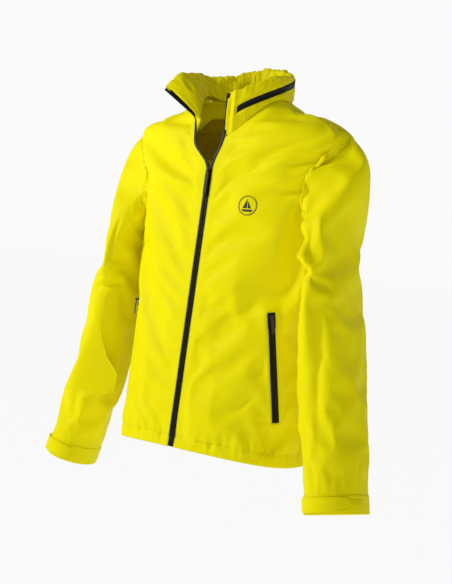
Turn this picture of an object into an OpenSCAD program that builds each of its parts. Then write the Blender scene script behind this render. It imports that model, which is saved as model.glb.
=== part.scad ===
// Foul weather jacket with a stand collar that holds a rolled hood.
// Frame: +Z up, -Y is the wearer's front, +X the wearer's left. The origin is at the hang loop.

/* [Body] */
// Height of the hem below the hang loop
hem_drop = 652; // [600:5:700]
// Rise of the hem at the centre front
hem_rise = 14; // [0:1:25]
// Half width at the hem
hem_hw = 192; // [180:1:210]
// Half width at the waist
waist_hw = 180; // [170:1:185]
// Half width at the armpits
chest_hw = 198; // [190:1:205]
// Height of the armpits below the hang loop
armpit_drop = 245; // [235:1:260]
// Fabric thickness of the outer shell
shell_t = 2; // [1.5:0.1:2.5]

/* [Shoulders and neck] */
// Half width at the shoulder tips
shoulder_hw = 232; // [220:1:240]
// Height of the shoulder tips below the hang loop
shoulder_drop = 53; // [45:1:65]
// Half width of the neckline
neck_hw = 88; // [82:1:92]
// Height of the neckline at the sides, above the hang loop
neck_rise = 12; // [8:1:16]

/* [Collar] */
// Height of the collar rim above the hang loop at the back
collar_back_top = 79; // [76:1:86]
// Height of the collar rim at the side
collar_side_top = 52; // [50:1:60]
// Height of the collar rim at the wearer's left front
collar_front_top = 13; // [5:1:25]
// Thickness of the collar with the hood rolled inside
collar_t = 13; // [10:0.5:16]

/* [Sleeves] */
// Height of the left cuff's mouth below the hang loop
left_cuff_drop = 704; // [690:1:715]
// Height of the right cuff's mouth below the hang loop
right_cuff_drop = 716; // [700:1:730]
// Width of each cuff band along the sleeve
cuff_w = 34; // [28:1:40]
// Length of the cuff tab around the cuff, in degrees of the ring
tab_sweep = 105; // [80:5:120]

/* [Zips] */
// Visible width of one half of the main zip tape
tape_w = 5.5; // [4:0.5:7]
// Height of the fork where the main zip is open, below the hang loop
fork_drop = 127; // [115:1:140]
// Length of a hand pocket zip
pocket_zip_len = 205; // [180:5:220]

/* [Hidden] */
$fn = 32;

shell_colour = "yellow";
trim_colour = "#231c20";
lining_colour = "#8a7a10";

// Plane between the front and the back, where the side and shoulder seams lie
mid_y = -70;
hem_z = -hem_drop;
armpit_z = -armpit_drop;
shoulder_z = -shoulder_drop;
fork_z = -fork_drop;
waist_z = -450;
neck_front_z = -72;
squareness = 0.86;
fork_depth = 98;
front_slope = 0.0727;

function ease(t) = let (c = min(1, max(0, t))) c * c * (3 - 2 * c);
function lerp(a, b, t) = a + (b - a) * t;
function unit(v) = v / norm(v);
function spow(v) = sign(v) * pow(abs(v), squareness);

// Half width of the body at height z
function half_w(z) =
    z >= shoulder_z ? lerp(shoulder_hw, neck_hw, (z - shoulder_z) / (neck_rise - shoulder_z)) :
    z >= armpit_z ? lerp(chest_hw, shoulder_hw, ease((z - armpit_z) / (shoulder_z - armpit_z))) :
    z >= waist_z ? lerp(waist_hw, chest_hw, ease((z - waist_z) / (armpit_z - waist_z))) :
    lerp(hem_hw, waist_hw, ease((z - hem_z) / (waist_z - hem_z)));

// Depth of the front: straight below the fork, so that the main zip runs in a straight line
function front_d(z) =
    z <= fork_z ? fork_depth + front_slope * (fork_z - z) :
    fork_depth - 0.0841 * (z - fork_z) - 0.00215 * pow(z - fork_z, 2);

function back_d(z) =
    z >= armpit_z ? 126 - 0.00078 * pow(z - armpit_z, 2) :
    lerp(111, 126, ease((z - waist_z) / (armpit_z - waist_z)));

// Point of the body surface at angle a from the centre front, at height z, pulled in by inset
function body_pt(a, z, inset = 0) = [
    (half_w(z) - inset) * spow(sin(a)),
    mid_y - ((cos(a) >= 0 ? front_d(z) : back_d(z)) - inset) * spow(cos(a)),
    z
];

// Angle at which the body surface has the plan offset x at height z
function angle_at(x, z) = asin(min(1, pow(min(1, abs(x) / half_w(z)), 1 / squareness)));

// Height at which the body surface passes through a plan point above the armpits
function surface_z(x, y, lo = -140, hi = 16, n = 18) =
    n == 0 ? (lo + hi) / 2 :
    let (
        m = (lo + hi) / 2,
        d = y < mid_y ? front_d(m) : back_d(m),
        q = pow(abs(x) / half_w(m), 2 / squareness) + pow(abs(y - mid_y) / d, 2 / squareness)
    ) q > 1 ? surface_z(x, y, lo, m, n - 1) : surface_z(x, y, m, hi, n - 1);

// Neckline: an ellipse in plan, laid on the body surface. b is 0 at the front and 180 at the back.
neck_y = -74;
neck_front_r = 83;
neck_back_r = 80;
function neck_xy(b) = [
    neck_hw * sin(b),
    neck_y - (cos(b) >= 0 ? neck_front_r : neck_back_r) * cos(b)
];
function neck_pt(b) = let (p = neck_xy(b)) [p[0], p[1], surface_z(p[0], p[1])];
function neck_az(b) =
    let (
        p = neck_pt(b),
        d = p[1] < mid_y ? front_d(p[2]) : back_d(p[2]),
        s = pow(min(1, abs(p[0]) / half_w(p[2])), 1 / squareness),
        c = pow(min(1, abs(p[1] - mid_y) / d), 1 / squareness)
    ) [p[1] < mid_y ? atan2(s, c) : 180 - atan2(s, c), p[2]];

function hem_height(a) = hem_z + (cos(a) > 0 ? hem_rise * pow(cos(a), 2) : 0);

// Plan offset of a front edge: straight up to the fork, then opening by splay towards the neck
left_splay = 12;
right_splay = 46;
function edge_x(z, splay) = splay * ease((z - fork_z) / (neck_front_z - fork_z));

// Armhole in the angle and height domain: t is 0 at the armpit and 1 at the shoulder tip
function armhole(t, front) =
    let (bite = (front ? 36 : -28) * (t <= 0 || t >= 1 ? 0 : pow(sin(180 * pow(t, 0.85)), 0.8)))
    [90 - bite, lerp(armpit_z, shoulder_z, t)];

armhole_share = 0.4;
neck_share = 0.5;
function side_edge(v, front) =
    v < 1 - armhole_share ? [90, lerp(hem_height(90), armpit_z, v / (1 - armhole_share))] :
    armhole((v - 1 + armhole_share) / armhole_share, front);
function shoulder_edge(u) = [90, lerp(neck_rise, shoulder_z, (u - neck_share) / (1 - neck_share))];

// Front panel patch between the zip edge (u = 0) and the side (u = 1), the hem and the top
function front_top(u, splay) =
    u >= neck_share ? shoulder_edge(u) :
    let (
        t = u / neck_share,
        b_start = asin((splay + tape_w) / neck_hw)
    ) neck_az(lerp(b_start, 90, t));
function front_edge(v, splay) =
    let (
        top = front_top(0, splay),
        z = lerp(hem_height(0), top[1], v)
    ) [angle_at(edge_x(z, splay) + tape_w, z), z];
function front_hem(u) = let (a = lerp(angle_at(tape_w, hem_z), 90, u)) [a, hem_height(a)];
function coons(u, v, bottom, top, left, right, c00, c10, c01, c11) =
    (1 - v) * bottom + v * top + (1 - u) * left + u * right
    - (1 - u) * (1 - v) * c00 - u * (1 - v) * c10 - (1 - u) * v * c01 - u * v * c11;
function front_az(u, v, splay) = coons(u, v,
    front_hem(u), front_top(u, splay), front_edge(v, splay), side_edge(v, true),
    front_hem(0), front_hem(1), front_top(0, splay), front_top(1, splay));

// Half of the back panel, from the centre back (u = 0) to the side (u = 1)
function back_top(u) =
    u >= neck_share ? shoulder_edge(u) : neck_az(lerp(180, 90, u / neck_share));
function back_az(u, v) = coons(u, v,
    [lerp(180, 90, u), hem_z], back_top(u),
    [180, lerp(hem_z, back_top(0)[1], v)], side_edge(v, false),
    [180, hem_z], [90, hem_z], back_top(0), back_top(1));

// Closed solid between two grids of points of the same size
module grid_solid(outer, inner, closed = false) {
    rows = len(outer);
    cols = len(outer[0]);
    n = rows * cols;
    last = closed ? cols - 1 : cols - 2;
    pts = concat([for (r = outer) for (p = r) p], [for (r = inner) for (p = r) p]);
    quads = concat(
        [for (i = [0 : rows - 2]) for (j = [0 : last]) let (k = (j + 1) % cols)
            [i * cols + j, i * cols + k, (i + 1) * cols + k, (i + 1) * cols + j]],
        [for (i = [0 : rows - 2]) for (j = [0 : last]) let (k = (j + 1) % cols)
            [n + i * cols + k, n + i * cols + j, n + (i + 1) * cols + j, n + (i + 1) * cols + k]],
        [for (j = [0 : last]) let (k = (j + 1) % cols) [j, n + j, n + k, k]],
        [for (j = [0 : last]) let (k = (j + 1) % cols, e = (rows - 1) * cols)
            [e + k, n + e + k, n + e + j, e + j]],
        closed ? [] : [for (i = [0 : rows - 2])
            [i * cols, (i + 1) * cols, n + (i + 1) * cols, n + i * cols]],
        closed ? [] : [for (i = [0 : rows - 2]) let (e = cols - 1)
            [(i + 1) * cols + e, i * cols + e, n + i * cols + e, n + (i + 1) * cols + e]]
    );
    tris = [for (q = quads) each [[q[0], q[1], q[2]], [q[0], q[2], q[3]]]];
    polyhedron(points = pts, faces = tris, convexity = 8);
}

function flip(p, side) = [p[0] * side, p[1], p[2]];

front_cols = 12;
low_rows = 14;
neck_rows = 12;
neck_part = 0.2;
// Shares of the height at which the rows lie, closer together where the front edge curves
front_shares = concat(
    [for (i = [0 : low_rows - 1]) i / low_rows * (1 - neck_part)],
    [for (i = [0 : neck_rows]) 1 - neck_part + i / neck_rows * neck_part]);
module front_panel(side, splay) {
    grid = function (inset) [for (v = front_shares) [for (j = [0 : front_cols])
        let (q = front_az(j / front_cols, v, splay)) body_pt(q[0], q[1], inset)]];
    color(shell_colour)
        scale([side, 1, 1])
            grid_solid(grid(0), grid(shell_t));
}

// Half of the back, from the centre back seam to the side seam
module back_panel(side) {
    cols = 10;
    rows = 18;
    grid = function (inset) [for (i = [0 : rows]) [for (j = [0 : cols])
        let (q = back_az(j / cols, i / rows)) body_pt(q[0], q[1], inset)]];
    color(shell_colour) scale([side, 1, 1]) grid_solid(grid(shell_t), grid(0));
}

// Doubled hem band sewn inside the lower edge, all around but for the zip
module hem_casing() {
    band = 22;
    gap = 1.6;
    cloth_t = 1.2;
    steps = 56;
    from = angle_at(tape_w + 1, hem_z);
    grid = function (inset) [for (k = [0, 1]) [for (j = [0 : steps])
        let (a = lerp(from, 360 - from, j / steps))
        body_pt(a, hem_height(a) + 1 + k * band, inset)]];
    color(shell_colour) grid_solid(grid(shell_t + gap), grid(shell_t + gap + cloth_t));
}

// Sleeve: a bent axis with elliptical rings; angle 0 is the outside, 90 the front
function cuff_z(side) = side > 0 ? -left_cuff_drop : -right_cuff_drop;
function axis_ends(side) = [
    [200, -80, -130],
    [side > 0 ? 250 : 236, -96, -410],
    [side > 0 ? 318 : 306, -134, cuff_z(side)]
];
function sleeve_axis(t, side) = let (p = axis_ends(side))
    pow(1 - t, 2) * p[0] + 2 * t * (1 - t) * p[1] + t * t * p[2];
function sleeve_dir(t, side) = let (p = axis_ends(side))
    unit((1 - t) * (p[1] - p[0]) + t * (p[2] - p[1]));
ring_twist = 15;
function ring_front0(t) = let (w = ring_twist * t * t) [-sin(w), -cos(w), 0];
function ring_out(t, side) = unit(cross(ring_front0(t), sleeve_dir(t, side)));
function ring_front(t, side) = unit(cross(sleeve_dir(t, side), ring_out(t, side)));
function ring_a(t) = lerp(92, 62, ease(t));
function ring_b(t) = lerp(36, 48, ease(t * 1.3));
// The side of the sleeve that faces the body lies flatter near the armpit
function inner_share(t) = lerp(0.6, 1, ease((t - 0.3) / 0.5));
function ring_pt(t, a, side, inset = 0) =
    sleeve_axis(t, side)
    + ring_out(t, side) * (ring_b(t) * (cos(a) < 0 ? inner_share(t) : 1) - inset) * cos(a)
    + ring_front(t, side) * (ring_a(t) - inset) * sin(a);

joint_t = 0.28;
joint_gap = 1.2;
axis_len = 620;
cuff_t = 1 - cuff_w / axis_len;
ring_steps = 28;
// Ring angle of the seams between the top sleeve and the under sleeve
seam_a = 105;

// Armhole point at ring angle a: 0 is the shoulder tip, 90 the front, 180 the armpit
armhole_mid = [205, mid_y, -150];
cap_gap = [1.2, 0, 0];
function armhole_pt(a, inset) =
    let (
        b = (a + 360) % 360,
        q = b <= 180 ? armhole(1 - b / 180, true) : armhole((b - 180) / 180, false),
        p = body_pt(q[0], q[1])
    ) p + cap_gap + unit(armhole_mid - p) * inset;
function hermite(p0, m0, p1, m1, t) =
    (1 + 2 * t) * pow(1 - t, 2) * p0 + t * pow(1 - t, 2) * m0
    + t * t * (3 - 2 * t) * p1 + t * t * (t - 1) * m1;
function cap_start(a) = let (w = (1 + cos(a)) / 2) [lerp(0.1, 1, w), 0, -lerp(1, 0.4, w)];
function cap_pt(s, a, side, inset) =
    let (
        p0 = armhole_pt(a, inset),
        p1 = ring_pt(joint_t, a, side, inset),
        reach = norm(p1 - p0)
    ) hermite(p0, cap_start(a) * reach * 1.1, p1, sleeve_dir(joint_t, side) * reach * 0.9, s);

// Upper end of the sleeve between two ring angles, fixed to the armhole
module cap_part(side, from, to, steps) {
    rows = 6;
    grid = function (inset) [for (i = [0 : rows]) [for (j = [0 : steps])
        cap_pt(i / rows, lerp(from, to, j / steps), side, inset)]];
    color(shell_colour) scale([side, 1, 1]) grid_solid(grid(0), grid(shell_t));
}
top_steps = 16;
under_steps = 12;
module sleeve_cap(side) { cap_part(side, -seam_a, seam_a, top_steps); }
module underarm(side) { cap_part(side, seam_a, 360 - seam_a, under_steps); }

module tube(side, from, to, rows, out_by, in_by) {
    grid = function (inset) [for (i = [0 : rows]) [for (j = [0 : ring_steps - 1])
        ring_pt(lerp(from, to, i / rows), 360 * j / ring_steps, side, inset)]];
    scale([side, 1, 1]) grid_solid(grid(-out_by), grid(in_by), true);
}

module sleeve_part(side, from, to, steps) {
    rows = 8;
    t0 = joint_t + joint_gap / axis_len;
    t1 = cuff_t - 0.0005;
    grid = function (inset) [for (i = [0 : rows]) [for (j = [0 : steps])
        ring_pt(lerp(t0, t1, i / rows), lerp(from, to, j / steps), side, inset)]];
    color(shell_colour) scale([side, 1, 1]) grid_solid(grid(0), grid(shell_t));
}
// Play between the two parts of a sleeve along their seams, in degrees around the sleeve
seam_play = 0.45;
module top_sleeve(side) { sleeve_part(side, -seam_a, seam_a, top_steps); }
module under_sleeve(side) {
    sleeve_part(side, seam_a + seam_play, 360 - seam_a - seam_play, under_steps);
}

// The cuff is a band folded over the sleeve end, a little prouder on both faces
cuff_out = 0.6;
cuff_in = 0.4;
module cuff(side) {
    color(shell_colour) tube(side, cuff_t, 1, 1, cuff_out, shell_t + cuff_in);
}

// Patch that follows the outside of the cuff between two ring angles
tab_root = 118;
tab_lift = 2.8;
tab_t = 1.8;
tab_margin = 4;
tab_round = 0.16;
pile_lift = 0.7;
pile_t = 0.6;
hook_lift = 1.75;
hook_t = 0.7;
patch_margin = 8;
pile_before = 60;
pile_after = 25;
hook_from = 0.6;
hook_to = 0.88;
module cuff_patch(side, a0, a1, lift, t, margin, round_end = 0) {
    steps = 12;
    grid = function (d) [for (k = [0 : 4]) [for (j = [0 : steps])
        let (
            s = j / steps,
            x = max(0, (s - 1 + round_end) / max(round_end, 0.001)),
            shrink = round_end > 0 ? sqrt(max(0.02, 1 - x * x)) : 1,
            mid = (cuff_t + 1) / 2,
            half = (1 - cuff_t) / 2 - margin / axis_len
        ) ring_pt(mid + half * shrink * (k / 2 - 1), lerp(a0, a1, s), side, -d)]];
    scale([side, 1, 1]) grid_solid(grid(lift), grid(lift + t));
}

module cuff_loop(side) {
    a1 = tab_root - tab_sweep - pile_after;
    color(shell_colour) cuff_patch(side, tab_root - pile_before, a1, pile_lift, pile_t, patch_margin);
}

module cuff_tab(side) {
    a1 = tab_root - tab_sweep;
    color(shell_colour) cuff_patch(side, tab_root, a1, tab_lift, tab_t, tab_margin, tab_round);
}

module cuff_hook(side) {
    a0 = tab_root - tab_sweep * hook_from;
    a1 = tab_root - tab_sweep * hook_to;
    color(shell_colour) cuff_patch(side, a0, a1, hook_lift, hook_t, patch_margin);
}

// Collar: b runs from the wearer's left front over the back (180) to the right front,
// where the collar leans out and folds over like a lapel
collar_b0 = asin(left_splay / neck_hw);
collar_b1 = 360 - asin(right_splay / neck_hw);
lean_start = 238;
side_lean = 20;
lapel_out = [-83, -18, 59];
collar_front_b = 24;
function side_angle(b) = b <= 180 ? b : 360 - b;
function rim_z(b) = let (c = side_angle(b))
    c < 90 ? lerp(collar_front_top, collar_side_top, ease((c - collar_b0) / (90 - collar_b0)))
    : lerp(collar_side_top, collar_back_top, ease((c - 90) / 90));
function rim_pt(b) =
    let (
        base = neck_pt(b),
        n = unit([base[0], base[1] - neck_y]),
        out = side_lean * ease((b - lean_start) / 36),
        up = [n[0] * out, n[1] * out, rim_z(b) - base[2]],
        w = pow(max(0, (b - lean_start) / (collar_b1 - lean_start)), 3)
    ) base + lerp(up, lapel_out, w);

// Point of the collar at angle b, height share h, and depth d inside the outer face
function collar_mid(b, h) = lerp(neck_pt(b), rim_pt(b), h);
function collar_normal(b) =
    let (e = 2, along = collar_mid(b + e, 0.5) - collar_mid(b - e, 0.5))
    unit(cross(rim_pt(b) - neck_pt(b), along));
function collar_pt(b, h, d) = collar_mid(b, h) + collar_normal(b) * d;

module collar_layer(d0, d1, h0, h1, rows, from, to, steps) {
    grid = function (depth) [for (i = [0 : rows]) [for (j = [0 : steps])
        collar_pt(lerp(from, to, j / steps), lerp(h0, h1, i / rows), depth)]];
    grid_solid(grid(d0), grid(d1));
}

collar_steps = 40;
tape_deg = 4;
collar_layer_t = 2;
module collar_outer() {
    color(shell_colour) collar_layer(0, collar_layer_t, 0.05, 1, 4,
        collar_b0 + tape_deg, collar_b1 - tape_deg, collar_steps);
}
module collar_facing() {
    color(shell_colour) collar_layer(collar_t - collar_layer_t, collar_t, 0.1, 1, 4,
        collar_b0 + tape_deg, collar_b1 - tape_deg, collar_steps);
}
module hood_roll() {
    margin = 8;
    gap = 1;
    color(shell_colour) collar_layer(collar_layer_t + gap, collar_t - collar_layer_t - gap,
        0.3, 0.97, 3, collar_b0 + margin, collar_b1 - margin, collar_steps);
}

// Zip that closes the hood compartment, around the outside of the collar
zip_band = 12.5;
collar_zip_side_z = 36;
collar_zip_slope = 0.4;
collar_zip_front_z = -17;
collar_zip_end_b = 285;
function collar_zip_z(b) = let (c = side_angle(b))
    c < 90 ? lerp(collar_zip_front_z, collar_zip_side_z,
        pow(max(0, (c - collar_front_b) / (90 - collar_front_b)), 0.85))
    : collar_zip_side_z + collar_zip_slope * (neck_xy(b)[1] - neck_y);
function collar_zip_h(b) = let (z0 = neck_pt(b)[2], z1 = rim_pt(b)[2])
    (collar_zip_z(b) - z0) / (z1 - z0);
module collar_zip_tape() {
    steps = 36;
    grid = function (d) [for (k = [-1, 1]) [for (j = [0 : steps])
        let (
            b = lerp(collar_front_b, collar_zip_end_b, j / steps),
            h = collar_zip_h(b) + k * zip_band / 2 / norm(rim_pt(b) - neck_pt(b))
        ) collar_pt(b, h, d)]];
    color(trim_colour) grid_solid(grid(-1.5), grid(-0.5));
}

// Puts a piece that is drawn with its face to -Y and its top to +Z into a frame
module place(p, face, top) {
    y = -unit(face);
    x = unit(cross(y, top));
    z = cross(x, y);
    translate(p) rotate([atan2(y[2], z[2]), -asin(x[2]), atan2(x[1], x[0])]) children();
}

// Zip slider with a bridge pin across it, and the puller that hangs on that pin
pin_r = 1;
pin_gap = 0.08;
bridge_out = 5.6;
module slider_piece(w, h) {
    color(trim_colour) {
        translate([0, -0.4, 0]) rotate([90, 0, 0]) linear_extrude(2.2)
            polygon([[-w / 2, h / 2], [w / 2, h / 2], [w * 0.36, -h / 2], [-w * 0.36, -h / 2]]);
        for (x = [-2.7, 1.5])
            translate([x, -bridge_out - 1, h / 2 - 5]) cube([1.2, bridge_out - 1, 3.6]);
        translate([-2, -bridge_out, h / 2 - 3]) rotate([0, 90, 0]) cylinder(r = pin_r, h = 4);
    }
}
module puller_piece(w, len) {
    eye_w = 2.6;
    color(trim_colour) {
        difference() {
            union() {
                rotate([0, 90, 0]) cylinder(r = 2.2, h = eye_w, center = true);
                translate([-eye_w / 2, -1.1, -6]) cube([eye_w, 2.2, 5]);
            }
            rotate([0, 90, 0]) cylinder(r = pin_r + pin_gap, h = eye_w + 1, center = true);
        }
        translate([0, 1.1, -6]) rotate([90, 0, 0]) linear_extrude(2.2) {
            translate([-w / 2, 2.5 - len]) square([w, len - 2.5]);
            translate([0, 2.5 - len]) circle(d = w);
        }
    }
}

// Main zip: each half of the tape follows its front edge and the collar's end
collar_tape_rows = 5;
tape_gap = 1;
module main_tape(side, splay, b_edge, w0, w1, d0, d1, z_low, collar_part = true) {
    toward = side > 0 ? 1 : -1;
    top_z = front_top(0, splay)[1];
    edge_rows = [for (v = front_shares) lerp(hem_height(0), top_z, v)];
    body_rows = concat([z_low], [for (z = edge_rows) if (z > z_low) z]);
    grid = function (d) concat(
        [for (z = body_rows) [for (w = [w0, w1])
            flip(body_pt(angle_at(edge_x(z, splay) + w, z), z, d), side)]],
        collar_part ? [for (i = [1 : collar_tape_rows]) [for (w = [w0, w1])
            collar_pt(b_edge + toward * w * tape_deg / tape_w, 0.98 * i / collar_tape_rows, d)]] : []
    );
    color(trim_colour) grid_solid(grid(d0), grid(d1));
}
edge_gap = 0.2;
zip_low_z = hem_z + hem_rise + 1;
stop_len = 12;
module main_zip_tape(side) {
    main_tape(side, side > 0 ? left_splay : right_splay, side > 0 ? collar_b0 : collar_b1,
        edge_gap, tape_w - tape_gap, 0, 1, zip_low_z);
}
module main_zip_coil(side) {
    main_tape(side, side > 0 ? left_splay : right_splay, side > 0 ? collar_b0 : collar_b1,
        edge_gap, 2.4, 1.1, 3, zip_low_z + stop_len + 1, false);
}
front_line = unit([0, front_slope, 1]);
front_face = unit([0, -1, front_slope]);
function front_at(z) = [0, mid_y - front_d(z), z];
module main_zip_slider() { place(front_at(fork_z - 8), front_face, front_line) slider_piece(9, 20); }
module main_zip_puller() {
    place(front_at(fork_z - 8), front_face, front_line)
        translate([0, -bridge_out, 7]) puller_piece(6, 42);
}
module main_zip_pin() {
    color(trim_colour) place(front_at(zip_low_z), front_face, front_line)
        translate([edge_gap, 1.3, 0.5]) cube([2.2, 1.8, stop_len]);
}
module main_zip_box() {
    color(trim_colour) place(front_at(zip_low_z), front_face, front_line)
        translate([-5, 1.3, 0.5]) cube([5 - edge_gap, 1.8, stop_len]);
}
module storm_flap() {
    rows = 10;
    reach = 20;
    grid = function (d) [for (i = [0 : rows])
        let (z = lerp(zip_low_z + 30, fork_z - 10, i / rows))
        [for (x = [-reach, 0, reach]) flip(body_pt(angle_at(x, z), z, d), x < 0 ? -1 : 1)]];
    color(shell_colour) grid_solid(grid(4.4), grid(5.6));
}

// Hand pocket: a straight zip from the garage at the top to the lower end
pocket_top_a = 52;
pocket_low_a = 65.4;
pocket_top_z = -378;
pocket_low_z = pocket_top_z - pocket_zip_len * 0.935;
pocket_top = body_pt(pocket_top_a, pocket_top_z);
pocket_low = body_pt(pocket_low_a, pocket_low_z);
pocket_up = unit(pocket_top - pocket_low);
pocket_side_pt = body_pt((pocket_top_a + pocket_low_a) / 2 + 5, (pocket_top_z + pocket_low_z) / 2)
    - body_pt((pocket_top_a + pocket_low_a) / 2 - 5, (pocket_top_z + pocket_low_z) / 2);
pocket_face = unit(cross(pocket_side_pt, pocket_up));
pocket_lift = 3.4;
garage_len = 24;
function pocket_at(s) = lerp(pocket_low, pocket_top, s) + pocket_face * pocket_lift;
module pocket_frame(side, s) {
    scale([side, 1, 1]) place(pocket_at(s), pocket_face, pocket_up) children();
}
module pocket_zip_tape(side) {
    color(trim_colour) pocket_frame(side, 0)
        translate([-zip_band / 2, 0, 0]) cube([zip_band, 1.2, norm(pocket_top - pocket_low)]);
}
module pocket_garage(side) {
    color(trim_colour) pocket_frame(side, 1) difference() {
        translate([-zip_band / 2 - 1, -1, -garage_len]) cube([zip_band + 2, 1 - 0.02, garage_len + 3]);
        translate([-zip_band / 2 + 0.6, -2, -garage_len - 1]) cube([zip_band - 1.2, 3, garage_len]);
    }
}
slider_h = 13;
module pocket_zip_slider(side) {
    pocket_frame(side, 1) translate([0, 0, -slider_h / 2 - 2]) slider_piece(8, slider_h);
}
module pocket_zip_puller(side) {
    pocket_frame(side, 1) translate([0, -bridge_out, -slider_h / 2 - 2 + slider_h / 2 - 3])
        puller_piece(5, 24);
}
module pocket_bag(side) {
    rows = 6;
    cols = 5;
    grid = function (d) [for (i = [0 : rows])
        let (z = lerp(hem_z + 45, pocket_top_z + 12, i / rows))
        [for (j = [0 : cols]) flip(body_pt(lerp(24, 74, j / cols), z, d), side)]];
    color(lining_colour) grid_solid(grid(6.2), grid(10.2));
}

// Hang loop: a bowed band that stands off the inside of the back neck, round the origin
loop_half = 32;
loop_bow = 9;
loop_w = 6;
loop_t = 1.4;
loop_back_y = 3;
module hang_loop() {
    r = (loop_half * loop_half + loop_bow * loop_bow) / (2 * loop_bow);
    color(trim_colour) translate([0, loop_back_y, -loop_w / 2]) intersection() {
        translate([-loop_half - 1, -2 * loop_bow, -1]) cube([2 * loop_half + 2, 2 * loop_bow, loop_w + 2]);
        translate([0, r - loop_bow, 0]) difference() {
            cylinder(r = r, h = loop_w, $fn = 96);
            translate([0, 0, -1]) cylinder(r = r - loop_t, h = loop_w + 2, $fn = 96);
        }
    }
}

// Lining patch on the inside of the back, below the neckline
lining_drop = 95;
lining_top_z = -8;
lining_inset = 7;
module neck_lining() {
    rows = 6;
    cols = 16;
    grid = function (d) [for (i = [0 : rows]) [for (j = [0 : cols])
        let (a = lerp(126, 234, j / cols))
        body_pt(a, lerp(lining_top_z - lining_drop, lining_top_z - 12 * abs(cos(a / 2)), i / rows), d)]];
    color(lining_colour) grid_solid(grid(lining_inset), grid(lining_inset + 1));
}

// Plain sailing boat badge printed on the wearer's left chest
print_a = 23.5;
print_z = -190;
print_r = 18;
module chest_print() {
    c = body_pt(print_a, print_z);
    side = body_pt(print_a + 4, print_z) - body_pt(print_a - 4, print_z);
    rise = body_pt(print_a, print_z + 8) - body_pt(print_a, print_z - 8);
    face = unit(cross(side, rise));
    color(trim_colour) place(c + face * 2.2, face, rise) rotate([90, 0, 0]) linear_extrude(0.5) {
        difference() {
            circle(r = print_r);
            circle(r = print_r - 1.6);
        }
        polygon([[-1, -6], [-1, 12], [-9, -6]]);
        polygon([[1, -6], [1, 8], [7, -6]]);
        polygon([[-11, -8], [11, -8], [7, -12], [-7, -12]]);
    }
}

// Collar zip slider on a circle about the neck's own axis, which leans back with the zip
track_tilt = atan(collar_zip_slope);
track_r = 90.4;
slider_b = 236;
track_axis = [0, -sin(track_tilt), cos(track_tilt)];
track_centre = [0, neck_y, collar_zip_side_z];
module on_track() {
    translate(track_centre) rotate([track_tilt, 0, 0]) rotate([0, 0, slider_b])
        translate([0, -track_r, 0]) children();
}
module collar_zip_slider() { on_track() rotate([0, 90, 0]) slider_piece(8, slider_h); }
module collar_zip_puller() {
    on_track() rotate([0, 90, 0]) translate([0, -bridge_out, slider_h / 2 - 3]) puller_piece(5, 20);
}

front_panel(1, left_splay);  // front_panel_left
front_panel(-1, right_splay);  // front_panel_right
back_panel(1);  // back_panel_left
back_panel(-1);  // back_panel_right
hem_casing();
sleeve_cap(1);  // sleeve_cap_left
sleeve_cap(-1);  // sleeve_cap_right
underarm(1);  // underarm_left
underarm(-1);  // underarm_right
top_sleeve(1);  // top_sleeve_left
top_sleeve(-1);  // top_sleeve_right
under_sleeve(1);  // under_sleeve_left
under_sleeve(-1);  // under_sleeve_right
cuff(1);  // cuff_left
cuff(-1);  // cuff_right
cuff_loop(1);  // cuff_loop_left
cuff_loop(-1);  // cuff_loop_right
cuff_tab(1);  // cuff_tab_left
cuff_tab(-1);  // cuff_tab_right
cuff_hook(1);  // cuff_hook_left
cuff_hook(-1);  // cuff_hook_right
collar_outer();
collar_facing();
hood_roll();
collar_zip_tape();
collar_zip_slider();
collar_zip_puller();
main_zip_tape(1);  // main_zip_tape_left
main_zip_tape(-1);  // main_zip_tape_right
main_zip_coil(1);  // main_zip_coil_left
main_zip_coil(-1);  // main_zip_coil_right
main_zip_slider();
main_zip_puller();
main_zip_pin();
main_zip_box();
storm_flap();
pocket_zip_tape(1);  // pocket_zip_tape_left
pocket_zip_tape(-1);  // pocket_zip_tape_right
pocket_zip_slider(1);  // pocket_zip_slider_left
pocket_zip_slider(-1);  // pocket_zip_slider_right
pocket_zip_puller(1);  // pocket_zip_puller_left
pocket_zip_puller(-1);  // pocket_zip_puller_right
pocket_garage(1);  // pocket_garage_left
pocket_garage(-1);  // pocket_garage_right
pocket_bag(1);  // pocket_bag_left
pocket_bag(-1);  // pocket_bag_right
hang_loop();
neck_lining();
chest_print();
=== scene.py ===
"""Foul weather jacket: cloth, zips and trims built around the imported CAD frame.

Shape functions work in millimetres, as the CAD source does; meshes are made in metres.
"""
import math

import bmesh
import bpy
import numpy as np
from mathutils import Matrix, Vector
from mathutils.bvhtree import BVHTree
from mathutils.kdtree import KDTree


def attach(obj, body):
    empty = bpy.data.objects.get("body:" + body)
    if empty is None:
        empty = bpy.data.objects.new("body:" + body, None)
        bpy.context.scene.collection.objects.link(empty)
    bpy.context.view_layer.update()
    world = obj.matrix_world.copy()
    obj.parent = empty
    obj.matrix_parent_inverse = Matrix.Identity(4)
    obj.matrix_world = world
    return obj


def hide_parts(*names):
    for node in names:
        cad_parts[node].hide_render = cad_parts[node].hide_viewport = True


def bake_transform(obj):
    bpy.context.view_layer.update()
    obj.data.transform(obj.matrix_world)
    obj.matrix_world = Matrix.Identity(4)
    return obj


MM = 0.001
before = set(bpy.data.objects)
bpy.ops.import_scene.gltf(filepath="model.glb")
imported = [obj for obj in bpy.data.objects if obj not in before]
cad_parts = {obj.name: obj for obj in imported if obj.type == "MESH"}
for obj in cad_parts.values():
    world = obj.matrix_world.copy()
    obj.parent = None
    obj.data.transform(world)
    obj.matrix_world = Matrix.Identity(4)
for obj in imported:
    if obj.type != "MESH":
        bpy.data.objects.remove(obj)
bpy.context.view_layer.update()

# ---------------------------------------------------------------- driving dimensions (mm)
HEM_Z, HEM_RISE = -652.0, 14.0
ARMPIT_Z, SHOULDER_Z, FORK_Z, WAIST_Z, NECK_FRONT_Z = -245.0, -53.0, -127.0, -450.0, -72.0
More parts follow.
